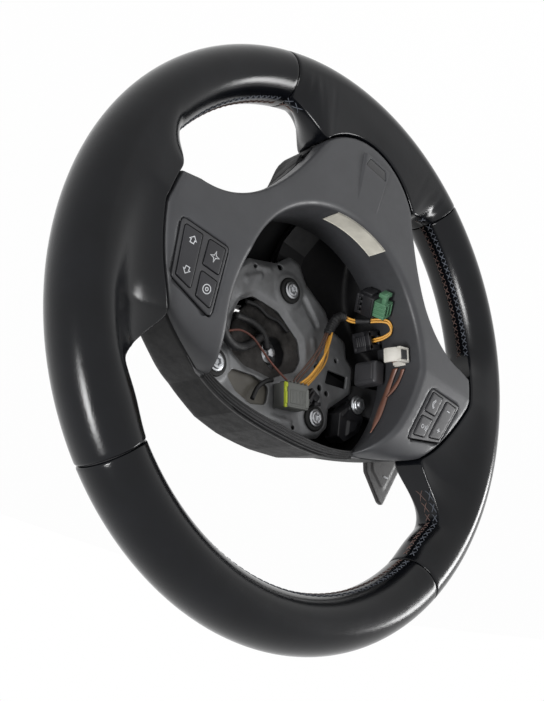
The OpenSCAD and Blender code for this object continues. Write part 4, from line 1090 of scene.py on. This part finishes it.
keeper = [moved(block((9.5, 5.0, 6.0), 0.7, 3), (-38.2, 39.8, 17.0), turn_about((0, 1, 0), 20)),
          moved(block((3.0, 7.5, 9.0), 0.6, 3), (-34.6, 38.6, 20.0), turn_about((0, 1, 0), 20)),
          moved(block((6.0, 3.0, 2.6), 0.5), (-40.5, 36.6, 22.6), turn_about((0, 1, 0), -20))]
add_mesh("plug_keeper", *joined(keeper), "holder")

WRAP = [(-34.4, 33.4, -27.6), (-35.6, 33.2, -31), (-36.4, 32.8, -35), (-38, 31.8, -40), (-40.6, 30.8, -43.6),
        (-43.4, 29.4, -44.8)]
path = smooth_path(WRAP, 8)
wrap_radii = [mix(2.4, 3.1, ease(i / 6)) + 0.5 * math.sin(i * 0.9) ** 2 for i in range(len(path))]
wrap_points, wrap_faces = tube(path, 3.1, 22, radii=wrap_radii)
add_mesh("tape_wrap", wobble(wrap_points, 0.6, 0.55), wrap_faces, "tape", node="wire_wrap")

LEAD_R, THIN_LEAD_R = 0.75, 0.7


def leads(paths, radius, sides):
    return joined([tube(smooth_path(path, 9), radius, sides) for path in paths])


FAN = [((-25, 35.8, 16), (-30.2, 33.8, 7), (-34.6, 32.6, -6), (-35.2, 33.2, -18), (-34.8, 34.2, -29.4)),
       ((-22.4, 35.6, 16.8), (-26.6, 32, 8.5), (-31.6, 30.2, -4.5), (-35.0, 31.4, -17), (-36.8, 33.4, -29.4)),
       ((-19.4, 35.4, 17.6), (-23.0, 30.0, 10.5), (-28.0, 27.6, -2), (-33.6, 29.2, -16), (-36.4, 31, -29.4)),
       ((-27.6, 36.4, 15.4), (-33.4, 35.4, 5), (-38.4, 34.2, -7), (-38.8, 34.2, -18), (-36.0, 34.4, -29.4))]
add_mesh("leads_yellow", *leads(FAN, LEAD_R, 9), "yellow", node="yellow_wires")
DARK_FAN = [((-17, 36.2, 18.4), (-20.4, 34, 10), (-25.4, 32.6, 0), (-31.2, 32.6, -14), (-34.2, 32.4, -28.6)),
            ((-14.4, 36.6, 19.2), (-17.8, 35.2, 11), (-22.8, 34.2, 1), (-29.4, 34, -13), (-33.6, 34, -28.6))]
add_mesh("leads_brown", *leads(DARK_FAN, THIN_LEAD_R, 8), "brown")
TWIN = [(-42.4, 30, -44.6), (-48, 25.8, -43.2), (-53.6, 20.6, -44.4), (-59, 13, -46.2), (-63, 7, -46.2),
        (-66.2, 5.2, -43), (-67.8, 6.6, -39.4), (-67.2, 11.5, -36.4), (-65.8, 16, -35), (-65.3, 20.2, -34.7)]
pair = [[np.array(q) + (0, 0, shift) for q in TWIN] for shift in (-0.95, 0.95)]
add_mesh("leads_pair", *leads(pair, LEAD_R, 10), "yellow")
band = smooth_path([(-49.6, 24.4, -43.3), (-53.6, 20.6, -44.4), (-56.6, 16.6, -45.4)], 5)
band_points, band_faces = tube(band, 2.0, 16)
add_mesh("pair_band", wobble(band_points, 0.25, 0.8), band_faces, "tape")
RED = [(44, 40, 8), (36, 37, 4), (27, 35, 5), (19, 33.8, 9.5), (10, 33.6, 14), (1, 34, 17), (-6, 34.6, 18.6),
       (-11.5, 35.2, 19.9)]
add_mesh("lead_red", *leads([RED], THIN_LEAD_R, 10), "red", node="red_wire")


# Plug holder with the green plug in its mouth, on the hub's inner wall

def wall_seat(half):
    """How far out a square-backed piece goes before its corners touch the round wall."""
    return math.sqrt((OPENING_R - SEAT) ** 2 - half ** 2)


def on_wall(part, angle, y, out, lean=0.0):
    """Stands a part on the hub's wall: x outwards to the wall, y into the hub."""
    pts = part[0] @ turn_about((1, 0, 0), lean).T + np.array([out, 0.0, 0.0])
    turn = turn_about((0, 1, 0), angle) @ np.diag([1.0, 1.0, -1.0])
    return pts @ turn.T + np.array([0.0, y, 0.0]), reversed_faces(part[1])


def span_block(x0, x1, y0, y1, z0, z1, bevel=0.4, segments=2):
    """A rounded box between two corners."""
    middle = ((x0 + x1) / 2, (y0 + y1) / 2, (z0 + z1) / 2)
    return moved(block((x1 - x0, y1 - y0, z1 - z0), bevel, segments), middle)


def span_blocks(rows, *bevel):
    """One part of several rounded boxes, each given by its corners."""
    return joined([span_block(*row, *bevel) for row in rows])


def on_holder(part):
    return on_wall(part, 134, 7.0, wall_seat(15) - 13, -35)


HOLDER = [(11.8, 13.0, 0, 14, -7, 8), (1.0, 12.4, 11, 14, -7, 8), (1.0, 12.4, 0, 12, -7, -5.6),
          (1.0, 12.4, 0, 12, 6.5, 8), (0.0, 1.2, 0, 9, -7, 8), (0.0, 1.2, 12, 14, -7, 8),
          (2, 11, 3, 11, -9, -6.6), (-0.6, 0.4, 0.2, 1.6, -6.4, 7.4), (1.6, 11.6, -0.7, 0.6, 6.7, 8.5),
          (3.0, 9.0, 13.4, 15.0, -4.5, 5.5)]
HOLDER += [(0.0, 1.2, 8.6, 12.4, z0, z1) for z0, z1 in ((-7, -4.5), (-2.5, -0.5), (1.5, 3.5), (5.5, 8))]
add_mesh("plug_holder", *on_holder(span_blocks(HOLDER)), "holder", node="cable_holder")
GREEN = [(2.3, 11.5, -5.2, 10, -5.2, 6.2), (2.0, 6.0, -8, -5, -9.6, -4.6), (2.0, 10.0, -8, -2, -12, -9.2),
         (3.0, 9.0, -7.2, -5.4, -12.6, -11.4)]
GREEN += [(1.5, 3.4, -9, 0, z0, z1) for z0, z1 in ((-5.2, -3.4), (-2.0, -0.6), (0.8, 2.2), (3.6, 6.2))]
GREEN += [(x0, x1, -9, -4.6, -5.2, 6.2) for x0, x1 in ((2.2, 3.6), (6.0, 7.6), (10.0, 11.5))]
GREEN += [(2.2, 11.5, -9, -4.6, z0, z1) for z0, z1 in ((-5.2, -3.4), (4.2, 6.2))]
GREEN += [(10.8, 12.1, -8.4, -0.8, z, z + 1.0) for z in (-3.8, -0.6, 2.6)]
add_mesh("green_plug", *on_holder(span_blocks(GREEN, 0.35)), "green", node="green_connector")


# Plug at the end of the twin leads, further round the same wall

def on_loop(part):
    return on_wall(part, 152, 25.0, wall_seat(7) - 13)


LOOP = [(0, 13, -4, 7, -7, 7), (0, 3, -8, -3.6, -7, 7), (10, 13, -8, -3.6, -7, 7), (0, 13, -8, -3.6, -7, -3),
        (0, 13, -8, -3.6, 3, 7), (-1.2, 0.6, -5, 5, -4, 4), (-0.5, 0.3, 4.6, 6.8, -6, 6),
        (2, 11, 6.4, 8.0, -5.4, 5.4), (1.0, 12.0, -8.5, -7.6, -6.6, -5.6), (1.0, 12.0, -8.5, -7.6, 5.6, 6.6)]
LOOP += [(-1.7, -0.6, y, y + 0.8, -3.4, 3.4) for y in (-3.6, -1.8, 0.0, 1.8)]
add_mesh("loop_body", *on_loop(span_blocks(LOOP)), "holder", node="loop_plug")


# White clip, an arch over its folded flat cable

def on_clip(part):
    return on_wall(part, 163, 0.0, wall_seat(6) - 15)


def bent_strip(path, width, thick):
    """A strip of even thickness along a path in x and y, width along z."""
    path = smooth_path([(x, y, 0) for x, y in path])
    rows = []
    for i, q in enumerate(path):
        d = path[min(i + 1, len(path) - 1)] - path[max(i - 1, 0)]
        d /= np.linalg.norm(d)
        n = np.array([-d[1], d[0], 0])
        w, e = width / 2, thick * 0.3
        rows.append([q + n * thick / 2 + (0, 0, w - e), q + n * (thick / 2 - e) + (0, 0, w),
                     q - n * (thick / 2 - e) + (0, 0, w), q - n * thick / 2 + (0, 0, w - e),
                     q - n * thick / 2 - (0, 0, w - e), q - n * (thick / 2 - e) - (0, 0, w),
                     q + n * (thick / 2 - e) - (0, 0, w), q + n * thick / 2 - (0, 0, w - e)])
    return np.array(rows).reshape(-1, 3), grid_faces(len(rows), 8) + end_caps(len(rows), 8)


ARCH = [(14, 7), (14, 2), (13.9, -1.4), (11.2, -5.4), (6.4, -5.9), (2.8, -3.4), (1.0, 0.6), (1.0, 4.4)]
CLIP_BARS = [(2.6, 12.4, -7.6, -4.6, 3.8, 5.2), (2.6, 12.4, -7.6, -4.6, -5.2, -3.8),
             (10.8, 12.6, -7.4, -4.2, -5.0, 5.0)]
clip_foot = span_block(13.2, 15.0, -3, 6, -6, 6, 0.5)
clip = joined([bent_strip(ARCH, 10.0, 2.0), clip_foot, span_blocks(CLIP_BARS)])
add_mesh("white_clip", *on_clip(clip), "white", node="flat_cable_clip")
hatch = [span_block(5.0, 10.4, -7.15, -6.4, -3.4, 3.4, 0.2)]
hatch += [span_block(x, x + 0.5, -7.5, -6.9, -3.2, 3.2, 0.15) for x in (5.3, 6.4, 7.5, 8.6, 9.7)]
add_mesh("clip_grid", *on_clip(joined(hatch)), "bezel")
FOLD = [(11.4, 6.4), (10.8, 0.4), (8.4, -2.2), (6.0, 0.2), (6.8, 3.4), (9.4, 4.6)]
add_mesh("ribbon_fold", *on_clip(bent_strip(FOLD, 6.4, 0.5)), "copper")


# Flat cable along the wall, with its shorter branch up to the clip

def ribbon_strip(curve, half, thick, n, taper):
    """A flat cable along a curve, narrower towards its end by taper."""
    rows = []
    for i in range(n + 1):
        k = i / n
        q = cubic(*(np.asarray(p, float) for p in curve), k)
        w = half * (1 - taper * ease((k - 0.72) / 0.28))
        lean = 0.35 * math.sin(k * 7.0)
        rows.append([q + (-thick + lean, -w, 0), q + (-thick - lean, w, 0), q + (thick - lean, w, 0),
                     q + (thick + lean, -w, 0)])
    return np.array(rows).reshape(-1, 3), grid_faces(n + 1, 4) + end_caps(n + 1, 4)


RIBBON = [(-77.2, 5, -16), (-81.2, 12, -7), (-82.2, 16, 16), (-71.5, 12.5, 33)]
add_mesh("ribbon", *ribbon_strip(RIBBON, 2.3, 0.25, 30, 0.7), "copper", node="flat_ribbon")
BRANCH = [(-78.0, -1.0, -15), (-80.4, 1.5, -9), (-79.6, 5.0, -2), (-76.0, 7.0, 5.5)]
add_mesh("ribbon_branch", *ribbon_strip(BRANCH, 1.6, 0.25, 20, 0.3), "copper")


# Dark padded housing on the wall, below the clip
housing_turn = turn_about((0, 1, 0), -10)
housing = [moved(block((11.0, 20.0, 17.0), 2.6, 4), (-72.6, 24.0, -12.5), housing_turn),
           moved(block((1.6, 14.0, 11.5), 0.6, 3), (-67.2, 23.6, -11.6), housing_turn)]
housing_points, housing_faces = joined(housing)
add_mesh("wall_housing", wobble(housing_points, 0.4, 0.22), housing_faces, "bezel")


# Control box with its stepped lid and nut

BOX = [(-62.5, 19.5), (-80, 1.2), (-81, 1), (-81, 11.8), (-87, 14), (-84, 26), (-72, 38), (-64.5, 36)]
STEP = np.array([(-71, 22), (-82, 18), (-81, 26), (-72, 34)], float)
NUT_AT = (-78.0, 7.5)
box_loop = resample(rounded(BOX, 1.2, 4), 1.0)


def lid(u, v):
    """Face of the control box: a raised step, the well round its nut and a rib."""
    step = raised_inside(u, v, STEP, 0.8)
    well = ease((7.6 - np.hypot(u - NUT_AT[0], v - NUT_AT[1])) / 0.9)
    rib = 0.6 * ease((1.2 - capsule(u, v, (-70, 14), (-66, 20))) / 0.6)
    return -35.0 + 1.6 * step - 1.0 * well + rib


points, faces = moulded(box_loop, [circle(*NUT_AT, 3.0, 24)], lid, 0.7, front, step=1.0, wall=4.0,
                        bottom=lambda u, v: 0 * u - 47.4, hole_edge=0.2, hole_depth=5.0)
add_mesh("control_box_lid", points, faces, "holder", node="control_box")
NUT = [(0.0, 31.2), (1.9, 31.2), (2.5, 31.6), (2.7, 32.1), (2.8, 32.6), (3.1, 32.3), (4.7, 32.1), (5.3, 32.6),
       (5.4, 33.8), (5.2, 34.2), (6.2, 34.3), (6.5, 34.6), (6.5, 35.6), (2.9, 35.6), (2.9, 45.0), (0.0, 45.0)]
add_mesh("box_fixing", *lathe(NUT, *NUT_AT, 48, [0] * 5 + [0.02, 0.04, 0.05, 0.05, 0.04] + [0] * 6), "steel",
         node="box_nut")


# Black ribbed strip in front of the rear cover's top flange

def strip_ridge(k):
    """Ridges across the strip, from the hub's side to the cover's side."""
    return 0.75 * abs(math.sin(k * math.pi * 4.5)) ** 0.7


strip_rows = []
for i in range(97):
    x = -66 + 132 * i / 96
    bow = 1.0 - (x / 66) ** 2
    row = []
    for j in range(29):
        k = j / 28
        z = mix(OPENING_TOP + 0.3 - 9 * (abs(x) / 66) ** 3, OPENING_TOP + 6.2 - 9.4 * (abs(x) / 66) ** 3, k) \
            + 1.6 * bow * k
        y = float(joint_y(np.array(OPENING_TOP))) - 1.2 + 2.4 * k - strip_ridge(k)
        row.append((x, y, z))
    row += [(x, row[28][1] + 2.6, row[28][2]), (x, row[0][1] + 2.6, row[0][2])]
    strip_rows.append(row)
strip_size = (len(strip_rows), len(strip_rows[0]))
add_mesh("ribbed_strip", np.array(strip_rows).reshape(-1, 3), grid_faces(*strip_size) + end_caps(*strip_size),
         "tape")


# Blank foil label on the hub's inner wall

label_rows = []
for i in range(49):
    t = math.radians(mix(-75.5, -109.0, i / 48))
    tilt = mix(0.0, 1.6, i / 48)
    row = []
    for j in range(13):
        y = mix(-12.6, 1.4, j / 12) - tilt
        lift = 0.10 * math.sin(i * 0.9 + j * 0.7) * (0.5 + 0.5 * math.sin(j * 1.3))
        r = OPENING_R - 0.05 + lift * 0.4
        row.append((r * math.cos(t), y, r * math.sin(t)))
    label_rows.append(row)
front_side = np.array(label_rows).reshape(-1, 3)
back_side = front_side * np.array([1.004, 1.0, 1.004])
n_label = len(front_side)
label_faces = grid_faces(49, 13, False)
label_faces += [tuple(n_label + v for v in reversed(f)) for f in grid_faces(49, 13, False)]
border = [i * 13 for i in range(49)] + [48 * 13 + j for j in range(1, 13)] + \
    [i * 13 + 12 for i in range(47, -1, -1)] + [j for j in range(11, 0, -1)]
for a, b in zip(border, border[1:] + border[:1]):
    label_faces.append((a, b, b + n_label, a + n_label))
add_mesh("blank_label", np.concatenate([front_side, back_side]), label_faces, "label")


# Symbols on the keys, as thin raised strokes

def strokes(name, side, lines, body, width=0.55):
    """Raised outlines on a switch face; a line that ends where it starts is closed."""
    parts = []
    to_space = on_switch(side)
    for line in lines:
        line = [np.asarray(q, float) for q in line]
        closed = np.linalg.norm(line[0] - line[-1]) < 1e-6
        pts = line[:-1] if closed else line
        n = len(pts)
        rows = []
        for i, q in enumerate(pts):
            a = pts[i - 1] if closed or i else q
            b = pts[(i + 1) % n] if closed or i < n - 1 else q
            da, db = q - a, b - q
            da = da / np.linalg.norm(da) if np.linalg.norm(da) > 0 else db / np.linalg.norm(db)
            db = db / np.linalg.norm(db) if np.linalg.norm(db) > 0 else da
            na, nb = np.array([-da[1], da[0]]), np.array([-db[1], db[0]])
            m = (na + nb) / max(0.35, 1 + na @ nb)
            low, high = KEY_TOP - 0.30, KEY_TOP + 0.06
            rows.append([(q + m * width / 2, low), (q + m * width / 2, high), (q - m * width / 2, high),
                         (q - m * width / 2, low)])
        pts3 = np.array([to_space(p[0], p[1], h) for row in rows for p, h in row])
        faces = grid_faces(n, 4, True, closed)
        if not closed:
            faces += [(0, 1, 2, 3), tuple(n * 4 - k for k in (1, 2, 3, 4))]
        if side > 0:
            faces = reversed_faces(faces)
        parts.append((pts3, faces))
    return add_mesh(name, *joined(parts), "symbol", body=body, smooth=False)


def centre_of(pts):
    return np.mean(np.asarray(pts, float), axis=0)


def arrow_house(c, r, turn):
    pts = [(-0.55, -0.75), (0.55, -0.75), (0.55, 0.05), (1.0, 0.05), (0, 1.0), (-1.0, 0.05), (-0.55, 0.05),
           (-0.55, -0.75)]
    ca, sa = math.cos(math.radians(turn)), math.sin(math.radians(turn))
    return [c + r * np.array([x * ca - y * sa, x * sa + y * ca]) for x, y in pts]


def ring_line(c, r, a0=0.0, a1=360.0, n=24):
    return [c + r * np.array([math.cos(math.radians(a)), math.sin(math.radians(a))]) for a in span(a0, a1, n)]


star_c, round_c, rocker_c = centre_of(STAR), centre_of(ROUND), centre_of(ROCKER)
star_line = []
for i in range(9):
    r = 3.0 if i % 2 == 0 else 0.95
    a = math.radians(45 * i + 6)
    star_line.append(star_c + r * np.array([math.cos(a), math.sin(a)]))
strokes("star_mark", 1, [star_line], "star_key", 0.5)
strokes("ring_mark", 1, [ring_line(round_c, 2.5), ring_line(round_c, 0.9, n=12)], "round_key", 0.5)
strokes("arrow_marks", 1, [arrow_house(rocker_c + np.array([1.7, -8.0]), 2.2, 180),
                           arrow_house(rocker_c + np.array([-1.9, 7.4]), 2.2, 0)], "rocker_right", 0.5)
phone = ring_line(star_c + np.array([0.4, 0.2]), 2.5, 110, 250, 12)
phone += [star_c + np.array(q) for q in ((-0.2, -3.0), (0.5, -2.0), (-0.2, -1.3))]
phone += list(reversed(ring_line(star_c + np.array([1.0, 0.2]), 1.9, 130, 230, 8)))
phone += [star_c + np.array(q) for q in ((0.5, 2.2), (-0.2, 3.0))]
strokes("handset_mark", -1, [phone + [phone[0]]], "phone_key", 0.45)
strokes("speech_mark", -1, [ring_line(round_c + np.array([-1.0, 0]), 1.2, n=14),
                            ring_line(round_c + np.array([0.2, 0]), 2.0, -45, 45, 8),
                            ring_line(round_c + np.array([0.6, 0]), 3.0, -45, 45, 8)], "speech_key", 0.45)
minus_c, plus_c = rocker_c + np.array([1.7, -8.0]), rocker_c + np.array([-1.9, 7.4])
strokes("level_marks", -1, [[minus_c + np.array([-1.5, 0]), minus_c + np.array([1.5, 0])],
                            [plus_c + np.array([-1.5, 0]), plus_c + np.array([1.5, 0])],
                            [plus_c + np.array([0, -1.5]), plus_c + np.array([0, 1.5])]], "rocker_left", 0.6)


# Cross stitching round the inside of the rim

def stitch_chain(name, q0, q1, material, pitch=5.0, radius=0.34, lift=0.18):
    parts = []
    length = math.radians(1) * (RING_R - HALF_W * 0.97)
    step = pitch / length
    t = -180.0
    while t < 180.0 - 1e-6:
        f = (t + 720) % 360
        f = f - 360 if f > 240 else f
        clear = float(into_spoke(np.array(f))) < 0.35
        near_joint = min(abs(((f - j + 180) % 360) - 180) for j in (45, 135, -60, 240)) < 1.2
        if clear and not near_joint:
            for a, b in ((q0, q1), (q1, q0)):
                ts = [f + step * k for k in (0.06, 0.3, 0.7, 0.94)]
                qs = [mix(a, b, k) for k in (0.0, 0.3, 0.7, 1.0)]
                offs = [0.45, -lift, -lift - (0.12 if a < b else 0.0), 0.45]
                path = [rim_points([tt], [qq], np.array([off]))[0, 0] for tt, qq, off in zip(ts, qs, offs)]
                parts.append(tube(path, radius, 6))
        t += step
    return add_mesh(name, *joined(parts), material)


stitch_chain("stitches_grey", -20.5, -9.5, "thread")
stitch_chain("stitches_brown", -5.0, 6.0, "thread_red")


# Moulded mark on each paddle
right_mark = moved(block((5.2, 0.5, 1.3), 0.15), (136.5, PADDLE_Y - 0.1, 40.0))
add_mesh("paddle_mark_right", *right_mark, "symbol", body="paddle_right")
add_mesh("paddle_mark_left", *mirrored(right_mark), "symbol", body="paddle_left")


# Materials of the CAD pieces that stay

NODE_MATERIALS = {
    "armature": "cast", "rim_core": "steel", "bore_bush": "steel", "trim_screws": "steel",
    "cover_screws": "steel", "paddle_bracket_right": "cover", "paddle_bracket_left": "cover",
    "paddle_pin_right": "steel", "paddle_pin_left": "steel",
}
for node, material in NODE_MATERIALS.items():
    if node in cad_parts:
        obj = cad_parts[node]
        obj.data.materials.clear()
        obj.data.materials.append(MATERIALS[material])


# Studio: a pale floor and world that rays seen directly find nearly white, in metres

FLOOR_HALF, FLOOR_Z, FLOOR_GLOW = 6.0, -0.75, 0.97
WORLD_LIGHT = 0.5
LAMP_TARGET = (0, -0.05, 0)


def larger(nodes, links, a, b):
    node = nodes.new("ShaderNodeMath")
    node.operation = "MAXIMUM"
    links.new(a, node.inputs[0])
    links.new(b, node.inputs[1])
    return node.outputs[0]


def seen_directly(nodes, links):
    """1 for camera, glossy and transmission rays."""
    path = nodes.new("ShaderNodeLightPath").outputs
    mirrored_or_seen = larger(nodes, links, path["Is Camera Ray"], path["Is Glossy Ray"])
    return larger(nodes, links, mirrored_or_seen, path["Is Transmission Ray"])


def make_stage():
    mat, nodes, links, shader = new_material("floor")
    shader.inputs["Base Color"].default_value = (0.95, 0.95, 0.95, 1)
    shader.inputs["Roughness"].default_value = 0.9
    glow = nodes.new("ShaderNodeEmission")
    blend = nodes.new("ShaderNodeMixShader")
    links.new(to_range(nodes, links, seen_directly(nodes, links), 0, 1, 0, FLOOR_GLOW), blend.inputs["Fac"])
    links.new(shader.outputs[0], blend.inputs[1])
    links.new(glow.outputs[0], blend.inputs[2])
    links.new(blend.outputs[0], nodes["Material Output"].inputs["Surface"])
    mesh = bpy.data.meshes.new("floor")
    corners = [(x * FLOOR_HALF, y * FLOOR_HALF, FLOOR_Z) for x, y in ((-1, -1), (1, -1), (1, 1), (-1, 1))]
    mesh.from_pydata(corners, [], [(0, 1, 2, 3)])
    mesh.materials.append(mat)
    floor = bpy.data.objects.new("floor", mesh)
    bpy.context.scene.collection.objects.link(floor)
    world = bpy.data.worlds.new("world")
    bpy.context.scene.world = world
    world.use_nodes = True
    nodes, links = world.node_tree.nodes, world.node_tree.links
    strength = to_range(nodes, links, seen_directly(nodes, links), 0, 1, WORLD_LIGHT, 1.0)
    links.new(strength, nodes["Background"].inputs["Strength"])
    nodes["Background"].inputs["Color"].default_value = (1, 1, 1, 1)


def area_lamp(name, at, width, height, watts):
    lamp = bpy.data.lights.new(name, "AREA")
    lamp.shape = "RECTANGLE"
    lamp.size, lamp.size_y, lamp.energy = width, height, watts
    obj = bpy.data.objects.new(name, lamp)
    bpy.context.scene.collection.objects.link(obj)
    obj.location = at
    obj.rotation_euler = (Vector(LAMP_TARGET) - Vector(at)).to_track_quat("-Z", "Y").to_euler()


make_stage()
area_lamp("key", (1.20, -0.50, 0.93), 0.26, 0.5, 19)
area_lamp("side", (-1.45, -0.62, -0.02), 0.34, 0.75, 14)

bpy.context.scene.view_settings.view_transform = "Standard"
